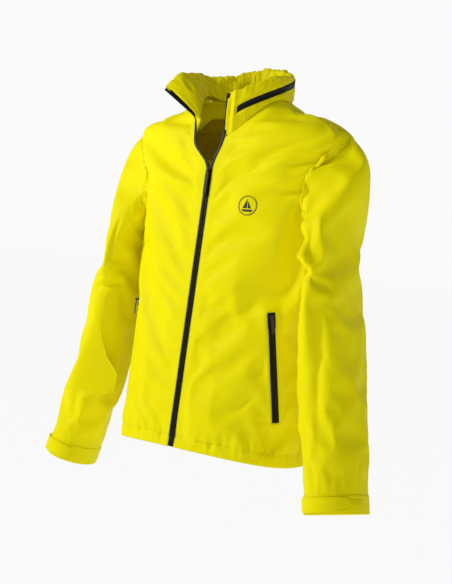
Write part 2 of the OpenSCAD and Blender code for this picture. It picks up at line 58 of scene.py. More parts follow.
HEM_HW, WAIST_HW, CHEST_HW, SHOULDER_HW, NECK_HW, NECK_RISE = 192.0, 180.0, 198.0, 232.0, 88.0, 12.0
MID_Y, SQUARENESS, FORK_DEPTH, FRONT_SLOPE = -70.0, 0.86, 98.0, 0.0727
NECK_Y, NECK_FRONT_R, NECK_BACK_R = -74.0, 83.0, 80.0
TAPE_W, LEFT_SPLAY, RIGHT_SPLAY = 5.5, 12.0, 46.0
ARMHOLE_SHARE, NECK_SHARE = 0.4, 0.5
JOINT_T, CUFF_W, AXIS_LEN, RING_TWIST = 0.28, 34.0, 620.0, 15.0
CUFF_T = 1 - CUFF_W / AXIS_LEN
COLLAR_T = 13.0


# ---------------------------------------------------------------- shape functions (mm)
def ease(t):
    t = np.clip(t, 0, 1)
    return t * t * (3 - 2 * t)


def lerp(a, b, t):
    return a + (b - a) * t


def unit(v):
    v = np.asarray(v, float)
    return v / np.maximum(np.linalg.norm(v, axis=-1, keepdims=True), 1e-9)


def spow(v, e=SQUARENESS):
    return np.sign(v) * np.abs(v) ** e


def half_w(z):
    z = np.asarray(z, float)
    upper = lerp(CHEST_HW, SHOULDER_HW, ease((z - ARMPIT_Z) / (SHOULDER_Z - ARMPIT_Z)))
    middle = lerp(WAIST_HW, CHEST_HW, ease((z - WAIST_Z) / (ARMPIT_Z - WAIST_Z)))
    lower = lerp(HEM_HW, WAIST_HW, ease((z - HEM_Z) / (WAIST_Z - HEM_Z)))
    ridge = lerp(SHOULDER_HW, NECK_HW, (z - SHOULDER_Z) / (NECK_RISE - SHOULDER_Z))
    below_armpit = np.where(z >= WAIST_Z, middle, lower)
    return np.where(z >= SHOULDER_Z, ridge, np.where(z >= ARMPIT_Z, upper, below_armpit))


def front_d(z):
    z = np.asarray(z, float)
    above = FORK_DEPTH - 0.0841 * (z - FORK_Z) - 0.00215 * (z - FORK_Z) ** 2
    return np.where(z <= FORK_Z, FORK_DEPTH + FRONT_SLOPE * (FORK_Z - z), above)


def back_d(z):
    z = np.asarray(z, float)
    lower = lerp(111.0, 126.0, ease((z - WAIST_Z) / (ARMPIT_Z - WAIST_Z)))
    return np.where(z >= ARMPIT_Z, 126 - 0.00078 * (z - ARMPIT_Z) ** 2, lower)


def body_pt(angle, z, inset=0.0):
    """Point of the body surface at an angle in degrees from the centre front, at height z."""
    a = np.radians(angle)
    depth = np.where(np.cos(a) >= 0, front_d(z), back_d(z))
    x = (half_w(z) - inset) * spow(np.sin(a))
    y = MID_Y - (depth - inset) * spow(np.cos(a))
    return np.stack(np.broadcast_arrays(x, y, np.asarray(z, float)), -1)


def angle_at(x, z):
    return np.degrees(np.arcsin(np.minimum(1, (np.minimum(1, np.abs(x) / half_w(z))) ** (1 / SQUARENESS))))


def surface_z(x, y):
    lo, hi = np.full(np.shape(x), -140.0), np.full(np.shape(x), 16.0)
    for _ in range(22):
        m = (lo + hi) / 2
        d = np.where(y < MID_Y, front_d(m), back_d(m))
        q = (np.abs(x) / half_w(m)) ** (2 / SQUARENESS) + (np.abs(y - MID_Y) / d) ** (2 / SQUARENESS)
        hi = np.where(q > 1, m, hi)
        lo = np.where(q > 1, lo, m)
    return (lo + hi) / 2


def neck_pt(b):
    """Neckline at angle b in degrees: 0 the front, 90 the wearer's left, 180 the back."""
    r = np.radians(b)
    x = NECK_HW * np.sin(r)
    y = NECK_Y - np.where(np.cos(r) >= 0, NECK_FRONT_R, NECK_BACK_R) * np.cos(r)
    return np.stack(np.broadcast_arrays(x, y, surface_z(x, y)), -1)


def neck_az(b):
    p = neck_pt(b)
    x, y, z = p[..., 0], p[..., 1], p[..., 2]
    d = np.where(y < MID_Y, front_d(z), back_d(z))
    s = np.minimum(1, np.abs(x) / half_w(z)) ** (1 / SQUARENESS)
    c = np.minimum(1, np.abs(y - MID_Y) / d) ** (1 / SQUARENESS)
    a = np.degrees(np.arctan2(s, c))
    return np.stack([np.where(y < MID_Y, a, 180 - a), z], -1)


def hem_height(angle):
    c = np.cos(np.radians(angle))
    return HEM_Z + np.where(c > 0, HEM_RISE * c * c, 0)


def edge_x(z, splay):
    return splay * ease((z - FORK_Z) / (NECK_FRONT_Z - FORK_Z))


def armhole(t, front):
    inside = np.clip(t, 0, 1)
    bite = (36 if front else -28) * np.sin(np.pi * inside ** 0.85).clip(0) ** 0.8
    return np.stack([90 - bite, lerp(ARMPIT_Z, SHOULDER_Z, t)], -1)


def side_edge(v, front):
    seam = np.stack([np.full(v.shape, 90.0), lerp(hem_height(90), ARMPIT_Z, v / (1 - ARMHOLE_SHARE))], -1)
    hole = armhole(np.clip((v - 1 + ARMHOLE_SHARE) / ARMHOLE_SHARE, 0, 1), front)
    return np.where((v < 1 - ARMHOLE_SHARE)[..., None], seam, hole)


def top_edge(u, b_start, b_end=90.0):
    seam_z = lerp(NECK_RISE, SHOULDER_Z, (u - NECK_SHARE) / (1 - NECK_SHARE))
    shoulder = np.stack([np.full(u.shape, 90.0), seam_z], -1)
    neck = neck_az(lerp(b_start, b_end, np.clip(u / NECK_SHARE, 0, 1)))
    return np.where((u >= NECK_SHARE)[..., None], shoulder, neck)


def coons(u, v, bottom, top, left, right):
    """Patch between four edges, each a function of one parameter."""
    c00, c10 = bottom(np.array(0.0)), bottom(np.array(1.0))
    c01, c11 = top(np.array(0.0)), top(np.array(1.0))
    uu, vv = u[..., None], v[..., None]
    return ((1 - vv) * bottom(u) + vv * top(u) + (1 - uu) * left(v) + uu * right(v)
            - (1 - uu) * (1 - vv) * c00 - uu * (1 - vv) * c10 - (1 - uu) * vv * c01 - uu * vv * c11)


def front_az(u, v, splay):
    b_start = np.degrees(np.arcsin((splay + TAPE_W) / NECK_HW))
    top_z = float(top_edge(np.array(0.0), b_start)[1])
    low = float(angle_at(TAPE_W, HEM_Z))

    def bottom(s):
        a = lerp(low, 90, s)
        return np.stack([a, hem_height(a)], -1)

    def left(t):
        z = lerp(float(hem_height(low)), top_z, t)
        return np.stack([angle_at(edge_x(z, splay) + TAPE_W, z), z], -1)

    return coons(u, v, bottom, lambda s: top_edge(s, b_start), left, lambda t: side_edge(t, True))


def back_az(u, v):
    top_z = float(neck_az(np.array(180.0))[1])

    def bottom(s):
        return np.stack([lerp(180.0, 90.0, s), np.full(s.shape, HEM_Z)], -1)

    def left(t):
        return np.stack([np.full(t.shape, 180.0), lerp(HEM_Z, top_z, t)], -1)

    return coons(u, v, bottom, lambda s: top_edge(s, 180.0), left, lambda t: side_edge(t, False))


# ---------------------------------------------------------------- sleeves (mm)
def axis_ends(side):
    return (np.array([200.0, -80, -130]), np.array([250.0 if side > 0 else 236.0, -96, -410]),
            np.array([318.0, -134, -704]) if side > 0 else np.array([306.0, -134, -716]))


def sleeve_frame(t, side):
    """Axis point, direction, outward and forward vectors at parameters t."""
    t = np.asarray(t, float)[..., None]
    p0, p1, p2 = axis_ends(side)
    centre = (1 - t) ** 2 * p0 + 2 * t * (1 - t) * p1 + t * t * p2
    along = unit((1 - t) * (p1 - p0) + t * (p2 - p1))
    w = np.radians(RING_TWIST * t * t)
    front0 = np.concatenate([-np.sin(w), -np.cos(w), 0 * w], -1)
    out = unit(np.cross(front0, along))
    return centre, along, out, unit(np.cross(along, out))


def ring_a(t):
    return lerp(92.0, 62.0, ease(t))


def ring_b(t):
    return lerp(36.0, 48.0, ease(np.asarray(t, float) * 1.3))


def ring_pt(t, angle, side, inset=0.0):
    """Point of the sleeve at axis parameter t: angle 0 is the outside, 90 the front."""
    t, angle = np.broadcast_arrays(np.asarray(t, float), np.asarray(angle, float))
    centre, _, out, fwd = sleeve_frame(t, side)
    a = np.radians(angle)[..., None]
    inner = lerp(0.6, 1.0, ease((t - 0.3) / 0.5))[..., None]
    depth = ring_b(t)[..., None] * np.where(np.cos(a) < 0, inner, 1.0)
    return (centre + out * (depth - inset) * np.cos(a)
            + fwd * (ring_a(t)[..., None] - inset) * np.sin(a))


def armhole_pt(angle):
    front = armhole(1 - angle / 180, True)
    back = armhole((angle - 180) / 180, False)
    q = np.where((angle <= 180)[..., None], front, back)
    return body_pt(q[..., 0], q[..., 1])


def cap_pt(s, angle, side):
    w = ((1 + np.cos(np.radians(angle))) / 2)[..., None]
    start = np.concatenate([lerp(0.1, 1.0, w), 0 * w, -lerp(1.0, 0.4, w)], -1)
    p0 = armhole_pt(angle)
    p1 = ring_pt(JOINT_T, angle, side)
    reach = np.linalg.norm(p1 - p0, axis=-1, keepdims=True)
    along = sleeve_frame(JOINT_T, side)[1]
    s = s[..., None]
    return ((1 + 2 * s) * (1 - s) ** 2 * p0 + s * (1 - s) ** 2 * start * reach * 1.1
            + s * s * (3 - 2 * s) * p1 + s * s * (s - 1) * along * reach * 0.9)


# ---------------------------------------------------------------- collar (mm)
COLLAR_B0 = math.degrees(math.asin(LEFT_SPLAY / NECK_HW))
COLLAR_B1 = 360 - math.degrees(math.asin(RIGHT_SPLAY / NECK_HW))
LEAN_START, SIDE_LEAN = 238.0, 20.0
LAPEL_OUT = np.array([-83.0, -18.0, 59.0])
RIM_FRONT, RIM_SIDE, RIM_BACK = 13.0, 52.0, 79.0


def rim_z(b):
    c = np.where(b <= 180, b, 360 - b)
    front = lerp(RIM_FRONT, RIM_SIDE, ease((c - COLLAR_B0) / (90 - COLLAR_B0)))
    return np.where(c < 90, front, lerp(RIM_SIDE, RIM_BACK, ease((c - 90) / 90)))


def rim_pt(b):
    b = np.asarray(b, float)
    base = neck_pt(b)
    n = unit(np.stack([base[..., 0], base[..., 1] - NECK_Y], -1))
    out = SIDE_LEAN * ease((b - LEAN_START) / 36)
    up = np.stack([n[..., 0] * out, n[..., 1] * out, rim_z(b) - base[..., 2]], -1)
    w = (np.maximum(0, (b - LEAN_START) / (COLLAR_B1 - LEAN_START)) ** 3)[..., None]
    return base + lerp(up, LAPEL_OUT, w)


def collar_mid(b, h):
    return lerp(neck_pt(b), rim_pt(b), np.asarray(h, float)[..., None])


def collar_normal(b):
    along = collar_mid(b + 2, np.full(np.shape(b), 0.5)) - collar_mid(b - 2, np.full(np.shape(b), 0.5))
    return unit(np.cross(rim_pt(b) - neck_pt(b), along))


def collar_pt(b, h, d):
    return collar_mid(b, h) + collar_normal(b) * np.asarray(d, float)[..., None]


# ---------------------------------------------------------------- mesh helpers
def new_object(name, pts, faces, smooth=True):
    """Object from points in millimetres."""
    mesh = bpy.data.meshes.new(name)
    corners = (np.asarray(pts, float).reshape(-1, 3) * MM).tolist()
    mesh.from_pydata(corners, [], [list(map(int, f)) for f in faces])
    mesh.update()
    mesh.polygons.foreach_set("use_smooth", [smooth] * len(mesh.polygons))
    obj = bpy.data.objects.new(name, mesh)
    bpy.context.scene.collection.objects.link(obj)
    return obj


def grid_faces(index, closed=False, flip=False):
    """Quads of a grid of vertex indices; closed joins the last column to the first."""
    nxt = np.roll(index, -1, axis=1) if closed else index[:, 1:]
    here = index if closed else index[:, :-1]
    quads = np.stack([here[:-1], nxt[:-1], nxt[1:], here[1:]], -1).reshape(-1, 4)
    return quads[:, ::-1] if flip else quads


def solid_grid(name, outer, inner, closed=False):
    """Closed solid between two grids of points, as in the CAD."""
    rows, cols = outer.shape[:2]
    index = np.arange(rows * cols).reshape(rows, cols)
    n = rows * cols
    quads = [grid_faces(index, closed), grid_faces(index + n, closed, True)]
    for edge, turn in ((index[0], False), (index[-1], True)):
        nxt = np.roll(edge, -1) if closed else edge[1:]
        here = edge if closed else edge[:-1]
        side = np.stack([here, here + n, nxt + n, nxt], -1)
        quads.append(side[:, ::-1] if turn else side)
    if not closed:
        for edge, turn in ((index[:, 0], True), (index[:, -1], False)):
            side = np.stack([edge[:-1], edge[:-1] + n, edge[1:] + n, edge[1:]], -1)
            quads.append(side[:, ::-1] if turn else side)
    pts = np.concatenate([outer.reshape(-1, 3), inner.reshape(-1, 3)])
    obj = new_object(name, pts, np.concatenate(quads))
    fix_normals(obj)
    return obj


def fix_normals(obj):
    bm = bmesh.new()
    bm.from_mesh(obj.data)
    bmesh.ops.recalc_face_normals(bm, faces=bm.faces)
    bm.to_mesh(obj.data)
    bm.free()


def apply_modifier(obj, kind, **settings):
    mod = obj.modifiers.new(kind.lower(), kind)
    for key, value in settings.items():
        setattr(mod, key, value)
    bpy.context.view_layer.update()
    graph = bpy.context.evaluated_depsgraph_get()
    mesh = bpy.data.meshes.new_from_object(obj.evaluated_get(graph))
    obj.modifiers.clear()
    obj.data = mesh
    return obj


def mesh_points(obj):
    co = np.empty(len(obj.data.vertices) * 3)
    obj.data.vertices.foreach_get("co", co)
    return co.reshape(-1, 3) / MM


def set_points(obj, pts):
    obj.data.vertices.foreach_set("co", (np.asarray(pts) * MM).ravel())
    obj.data.update()


def mesh_normals(obj):
    no = np.empty(len(obj.data.vertices) * 3)
    obj.data.vertices.foreach_get("normal", no)
    return no.reshape(-1, 3)


# ---------------------------------------------------------------- noise
LATTICE = np.random.default_rng(7).uniform(-1, 1, (32, 32, 32))


def noise(p, size, shift=0.0):
    """Smooth value noise from -1 to 1 at points p in mm, with cells of the given size."""
    q = np.asarray(p) / size + shift
    cell = np.floor(q).astype(int)
    f = ease(q - cell)
    total = 0.0
    for corner in np.ndindex(2, 2, 2):
        w = np.prod(np.where(np.array(corner) == 1, f, 1 - f), axis=-1)
        i = (cell + corner) % 32
        total = total + w * LATTICE[i[..., 0], i[..., 1], i[..., 2]]
    return total


def ridges(p, size, shift=0.0):
    """Creased noise, 1 on the crests and falling to 0 away from them."""
    return (1 - np.abs(noise(p, size, shift))) ** 3


# ---------------------------------------------------------------- hand pocket frame (mm)
ZIP_BAND = 12.5
POCKET_TOP_A, POCKET_LOW_A, POCKET_TOP_Z, POCKET_LIFT = 52.0, 65.4, -378.0, 3.4
POCKET_LOW_Z = POCKET_TOP_Z - 205 * 0.935


def pocket_frame(side):
    top, low = body_pt(POCKET_TOP_A, POCKET_TOP_Z), body_pt(POCKET_LOW_A, POCKET_LOW_Z)
    up = unit(top - low)
    mid_a, mid_z = (POCKET_TOP_A + POCKET_LOW_A) / 2, (POCKET_TOP_Z + POCKET_LOW_Z) / 2
    face = unit(np.cross(body_pt(mid_a + 5, mid_z) - body_pt(mid_a - 5, mid_z), up))
    across = np.cross(up, -face)
    return [mirrored(v, side) for v in (top, low, up, face, across)]


# ---------------------------------------------------------------- garment net
ROWS, COLS, RING = 100, 40, 80
CAP_ROWS, SLEEVE_ROWS = 24, 60
ARM_ROW = int(ROWS * (1 - ARMHOLE_SHARE))
PANELS = ("front_left", "front_right", "back_left", "back_right", "sleeve_left", "sleeve_right")


class Net:
    """Points and faces of the whole garment, welded along its seams."""

    def __init__(self):
        self.points, self.faces, self.panel, self.count = [], [], [], 0

    def add(self, pts):
        n = pts.shape[0] * pts.shape[1]
        index = np.arange(self.count, self.count + n).reshape(pts.shape[:2])
        self.points.append(pts.reshape(-1, 3))
        self.count += n
        return index

    def patch(self, index, panel, closed=False, flip=False):
        quads = grid_faces(index, closed, flip)
        self.faces.append(quads)
        self.panel.append(np.full(len(quads), PANELS.index(panel)))


def mirrored(pts, side):
    return pts * np.array([side, 1, 1])


def build_net():
    net = Net()
    v, u = np.meshgrid(np.linspace(0, 1, ROWS + 1), np.linspace(0, 1, COLS + 1), indexing="ij")
    q = back_az(u, v)
    half = body_pt(q[..., 0], q[..., 1])
    back = net.add(np.concatenate([mirrored(half[:, :0:-1], -1), half], axis=1))
    net.patch(back[:, :COLS + 1], "back_right", flip=True)
    net.patch(back[:, COLS:], "back_left", flip=True)
    lines = {"back": back}
    for side, name, splay in ((1, "left", LEFT_SPLAY), (-1, "right", RIGHT_SPLAY)):
        q = front_az(u, v, splay)
        front = net.add(mirrored(body_pt(q[..., 0], q[..., 1]), side))
        back_half = back[:, COLS:] if side > 0 else back[:, COLS::-1]
        front[:ARM_ROW + 1, -1] = back_half[:ARM_ROW + 1, -1]
        front[-1, COLS // 2:] = back_half[-1, COLS // 2:]
        net.patch(front, "front_" + name, flip=side < 0)
        steps = RING // 2
        hole = np.concatenate([front[ROWS - np.arange(steps + 1), -1],
                               back_half[ROWS - 2 * steps + np.arange(steps + 1, 2 * steps), -1]])
        angle = np.arange(RING) * 360.0 / RING
        s = np.linspace(0, 1, CAP_ROWS + 1)[1:]
        t = np.linspace(JOINT_T, CUFF_T + 0.012, SLEEVE_ROWS + 1)[1:]
        ss, aa = np.meshgrid(s, angle, indexing="ij")
        cap = net.add(mirrored(cap_pt(ss, aa, side), side))
        tt, aa = np.meshgrid(t, angle, indexing="ij")
        arm = net.add(mirrored(ring_pt(tt, aa, side), side))
        sleeve = np.concatenate([hole[None], cap, arm])
        net.patch(sleeve, "sleeve_" + name, closed=True, flip=side < 0)
        lines["front_" + name] = front
        lines["sleeve_" + name] = sleeve
    points = np.concatenate(net.points)
    faces, panel = np.concatenate(net.faces), np.concatenate(net.panel)
    used, compact = np.unique(faces, return_inverse=True)
    remap = np.full(len(points), -1)
    remap[used] = np.arange(len(used))
    return points[used], compact.reshape(-1, 4), panel, {k: remap[i] for k, i in lines.items()}


# ---------------------------------------------------------------- materials
def new_material(name):
    mat = bpy.data.materials.new(name)
    mat.use_nodes = True
    nodes, links = mat.node_tree.nodes, mat.node_tree.links
    return mat, nodes, links, nodes["Principled BSDF"]


def node_of(nodes, kind, **inputs):
    node = nodes.new(kind)
    for key, value in inputs.items():
        node.inputs[key.replace("_", " ")].default_value = value
    return node


def colour_mix(nodes, links, fac, a, b):
    mix = nodes.new("ShaderNodeMix")
    mix.data_type = "RGBA"
    mix.inputs[6].default_value = (*a, 1)
    mix.inputs[7].default_value = (*b, 1)
    links.new(fac, mix.inputs[0])
    return mix.outputs[2]


def chain_bumps(nodes, links, bsdf, layers):
    """Bump nodes in a row: each layer is (height socket, distance in metres, strength)."""
    previous = None
    for height, distance, strength in layers:
        bump = node_of(nodes, "ShaderNodeBump", Distance=distance, Strength=strength)
        links.new(height, bump.inputs["Height"])
        if previous:
            links.new(previous, bump.inputs["Normal"])
        previous = bump.outputs["Normal"]
    links.new(previous, bsdf.inputs["Normal"])


def object_coords(nodes, links, scale=(1, 1, 1)):
    coords = nodes.new("ShaderNodeTexCoord")
    mapping = node_of(nodes, "ShaderNodeMapping", Scale=scale)
    links.new(coords.outputs["Object"], mapping.inputs["Vector"])
    return mapping.outputs["Vector"]


def weave_height(nodes, links, coords, pitch):
    """Plain weave: threads along two diagonals of space, so that no side of the object shows stripes."""
    total = None
    for scale in ((1, 1, 0.13), (0.13, 0.13, 1)):
        mapping = node_of(nodes, "ShaderNodeMapping", Scale=scale)
        links.new(coords, mapping.inputs["Vector"])
        wave = node_of(nodes, "ShaderNodeTexWave", Scale=0.314 / pitch, Distortion=0.6, Detail=1.0)
        wave.bands_direction = "DIAGONAL"
        links.new(mapping.outputs["Vector"], wave.inputs["Vector"])
        if total is None:
            total = wave.outputs["Fac"]
            continue
        add = nodes.new("ShaderNodeMath")
        add.operation = "MULTIPLY"
        links.new(total, add.inputs[0])
        links.new(wave.outputs["Fac"], add.inputs[1])
        total = add.outputs[0]
    return total


def noise_of(nodes, links, coords, scale, detail=2.0):
    tex = node_of(nodes, "ShaderNodeTexNoise", Scale=scale, Detail=detail)
    links.new(coords, tex.inputs["Vector"])
    return tex.outputs["Fac"]


def coated_fabric(name, light, dark, roughness, weave_pitch=0.0007, crinkle=0.35):
    """Coated woven polyester: faint mottling, fine weave and shallow crinkles."""
    mat, nodes, links, bsdf = new_material(name)
    coords = object_coords(nodes, links)
    mottling = noise_of(nodes, links, coords, 9.0, 4.0)
    links.new(colour_mix(nodes, links, mottling, light, dark), bsdf.inputs["Base Color"])
    rough = node_of(nodes, "ShaderNodeMapRange", To_Min=roughness - 0.06, To_Max=roughness + 0.08)
    links.new(noise_of(nodes, links, coords, 60.0, 3.0), rough.inputs["Value"])
    links.new(rough.outputs["Result"], bsdf.inputs["Roughness"])
    bsdf.inputs["Specular IOR Level"].default_value = 0.06
    bsdf.inputs["Sheen Weight"].default_value = 0.0
    bsdf.inputs["Sheen Roughness"].default_value = 0.5
    chain_bumps(nodes, links, bsdf, (
        (noise_of(nodes, links, coords, 38.0, 3.0), 0.0012, crinkle),
        (noise_of(nodes, links, coords, 320.0, 2.0), 0.0002, 0.25),
        (weave_height(nodes, links, coords, weave_pitch), 0.0001, 0.35)))
    return mat


def knitted_tape(name, colour, highlight, roughness, weave_pitch=0.0006, specular=0.14):
    """Coated zip tape or webbing: dark, with fine ribs and scuffed highlights."""
    mat, nodes, links, bsdf = new_material(name)
    coords = object_coords(nodes, links)
    wear = node_of(nodes, "ShaderNodeMapRange", From_Min=0.45, From_Max=0.75)
    links.new(noise_of(nodes, links, coords, 85.0, 4.0), wear.inputs["Value"])
    links.new(colour_mix(nodes, links, wear.outputs["Result"], colour, highlight), bsdf.inputs["Base Color"])
    bsdf.inputs["Roughness"].default_value = roughness
    bsdf.inputs["Specular IOR Level"].default_value = specular
    chain_bumps(nodes, links, bsdf, (
        (noise_of(nodes, links, coords, 140.0, 3.0), 0.0004, 0.4),
        (weave_height(nodes, links, coords, weave_pitch), 0.0001, 0.5)))
    return mat


def moulded(name, colour, roughness, metallic=0.0, coat=0.0):
    """Painted die casting or moulded plastic with a fine orange-peel surface and rubbed patches."""
    mat, nodes, links, bsdf = new_material(name)
    coords = object_coords(nodes, links)
    lighter = tuple(min(1.0, c * 1.9 + 0.012) for c in colour)
    rubbed = node_of(nodes, "ShaderNodeMapRange", From_Min=0.5, From_Max=0.8)
    links.new(noise_of(nodes, links, coords, 260.0, 3.0), rubbed.inputs["Value"])
    links.new(colour_mix(nodes, links, rubbed.outputs["Result"], colour, lighter), bsdf.inputs["Base Color"])
    bsdf.inputs["Roughness"].default_value = roughness
    bsdf.inputs["Metallic"].default_value = metallic
    bsdf.inputs["Coat Weight"].default_value = coat
    chain_bumps(nodes, links, bsdf, ((noise_of(nodes, links, coords, 900.0, 2.0), 0.0001, 0.3),))
    return mat


YELLOW, YELLOW_DARK = (0.90, 0.815, 0.0), (0.84, 0.755, 0.0)
BLACK, BLACK_WORN = (0.006, 0.005, 0.005), (0.014, 0.012, 0.011)
MATERIALS = {
    "shell": coated_fabric("shell_fabric_yellow", YELLOW, YELLOW_DARK, 0.55),
    "collar": coated_fabric("collar_fabric_crinkled", (0.86, 0.77, 0.0), (0.74, 0.65, 0.0), 0.5, crinkle=0.9),
    # The lining's olive colours are painted shade: they stand in for the shade inside the neck, where the
    # cloth itself is the shell's yellow.
    "lining": coated_fabric("lining_painted_shade_olive", (0.46, 0.34, 0.0), (0.34, 0.25, 0.0), 0.6),
    "bag": coated_fabric("pocket_bag_cloth", (0.70, 0.62, 0.02), (0.6, 0.52, 0.02), 0.7),
    "tape": knitted_tape("zip_tape_black", BLACK, BLACK_WORN, 0.42),
    "coil": moulded("zip_coil_black", (0.016, 0.014, 0.016), 0.35),
    "hardware": moulded("zip_hardware_black", (0.018, 0.016, 0.019), 0.28, coat=0.4),
    "hook": knitted_tape("hook_and_loop_yellow", (0.80, 0.72, 0.0), (0.70, 0.62, 0.0), 0.9, 0.0011, 0.1),
    "webbing": knitted_tape("webbing_black", (0.02, 0.018, 0.02), (0.05, 0.045, 0.05), 0.75, 0.0012, 0.2),
    "ink": moulded("print_ink_black", (0.02, 0.017, 0.015), 0.6),
    "thread": knitted_tape("stitching_thread", (0.72, 0.64, 0.0), (0.86, 0.78, 0.02), 0.65, 0.0004, 0.2),
}


def finish(obj, look, body=None, replaces=()):
    """Gives a piece its material and slot, and where it belongs in the frame."""
    obj.data.materials.clear()
    obj.data.materials.append(MATERIALS[look])
    if body:
        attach(obj, body)
    if replaces:
        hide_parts(*replaces)
    return obj


# ---------------------------------------------------------------- camera, light and floor
def make_camera():
    """The view of the photograph: from the wearer's left front, with the jacket leaning right."""
    azimuth, elevation, roll = math.radians(36), math.radians(2.1), math.radians(5.6)
    distance, focus_mm, sensor = 2.2, 71.08, 36.0
    target = Vector((-0.0072, -0.070, -0.352))
    toward = Vector((math.sin(azimuth) * math.cos(elevation), -math.cos(azimuth) * math.cos(elevation),
                     math.sin(elevation)))
    data = bpy.data.cameras.new("camera")
    data.lens, data.sensor_width = focus_mm, sensor
    data.clip_end = 50
    camera = bpy.data.objects.new("camera", data)
    bpy.context.scene.collection.objects.link(camera)
    turn = toward.to_track_quat("Z", "Y").to_matrix().to_4x4()
    place = Matrix.Translation(target + toward * distance)
    camera.matrix_world = place @ turn @ Matrix.Rotation(roll, 4, "Z")
    bpy.context.scene.camera = camera


def area_light(name, place, target, size, power, colour=(1, 1, 1)):
    data = bpy.data.lights.new(name, "AREA")
    data.energy, data.size, data.color = power, size, colour
    obj = bpy.data.objects.new(name, data)
    bpy.context.scene.collection.objects.link(obj)
    obj.location = place
    obj.rotation_euler = (Vector(place) - Vector(target)).to_track_quat("Z", "Y").to_euler()
    return obj


BACKGROUND = 0.955


def make_world(ambient):
    world = bpy.data.worlds.new("studio")
    bpy.context.scene.world = world
    world.use_nodes = True
    nodes, links = world.node_tree.nodes, world.node_tree.links
    sky = nodes["Background"]
    sky.inputs["Color"].default_value = (BACKGROUND, BACKGROUND, BACKGROUND, 1)
    light = node_of(nodes, "ShaderNodeBackground", Color=(1, 1, 1, 1), Strength=ambient)
    ray = nodes.new("ShaderNodeLightPath")
    mix = nodes.new("ShaderNodeMixShader")
    links.new(ray.outputs["Is Camera Ray"], mix.inputs["Fac"])
    links.new(light.outputs["Background"], mix.inputs[1])
    links.new(sky.outputs["Background"], mix.inputs[2])
    links.new(mix.outputs["Shader"], nodes["World Output"].inputs["Surface"])


def make_floor():
    steps = 96
    ring = [(60000 * math.cos(2 * math.pi * k / steps), 60000 * math.sin(2 * math.pi * k / steps), -980)
            for k in range(steps)]
    floor = new_object("studio_floor", ring, [range(steps)], smooth=False)
    mat = bpy.data.materials.new("floor_pale")
    mat.use_nodes = True
    nodes, links = mat.node_tree.nodes, mat.node_tree.links
    nodes.remove(nodes["Principled BSDF"])
    glow = node_of(nodes, "ShaderNodeEmission", Color=(BACKGROUND, BACKGROUND, BACKGROUND, 1), Strength=1.0)
    matt = node_of(nodes, "ShaderNodeBsdfDiffuse", Color=(0.9, 0.9, 0.9, 1))
    mix = node_of(nodes, "ShaderNodeMixShader", Fac=0.015)
    links.new(glow.outputs[0], mix.inputs[1])
    links.new(matt.outputs[0], mix.inputs[2])
    links.new(mix.outputs[0], nodes["Material Output"].inputs["Surface"])
    floor.data.materials.append(mat)


make_camera()
make_world(0.18)
make_floor()
area_light("key_light", (-1.85, -1.95, 1.1), (0, 0, -0.3), 0.45, 54)
area_light("fill_light", (1.6, -2.3, -0.3), (0, 0, -0.35), 1.6, 8)
area_light("rim_light", (1.2, 2.4, 1.6), (0, 0, -0.2), 1.6, 14)
bpy.context.scene.view_settings.view_transform = "Standard"


# ---------------------------------------------------------------- shell panels
net_points, net_faces, net_panel, seam_lines = build_net()
garment = new_object("garment_net", net_points, net_faces)
garment.data.polygons.foreach_set("material_index", net_panel.astype(np.int32))
for panel_name in PANELS:
    garment.data.materials.append(bpy.data.materials.new("panel_" + panel_name))

# Folds: points on the cloth (mm), half width and height; a negative height is a valley
# Folds are laid out on the draft: on the body from one (angle, height) to another, and on a sleeve
# from one (distance past the joint, angle) to another. Each has a width and a height in mm.
FOLD_POINTS = 6


def body_fold(side, start, stop, width, height):
    share = np.linspace(0, 1, FOLD_POINTS)
    line = body_pt(lerp(start[0], stop[0], share), lerp(start[1], stop[1], share))
    return mirrored(line, side), width, height


def sleeve_fold(side, start, stop, width, height):
    share = np.linspace(0, 1, FOLD_POINTS)
    line = ring_pt(JOINT_T + lerp(start[0], stop[0], share), lerp(start[1], stop[1], share), side, 0)
    return mirrored(line, side), width, height


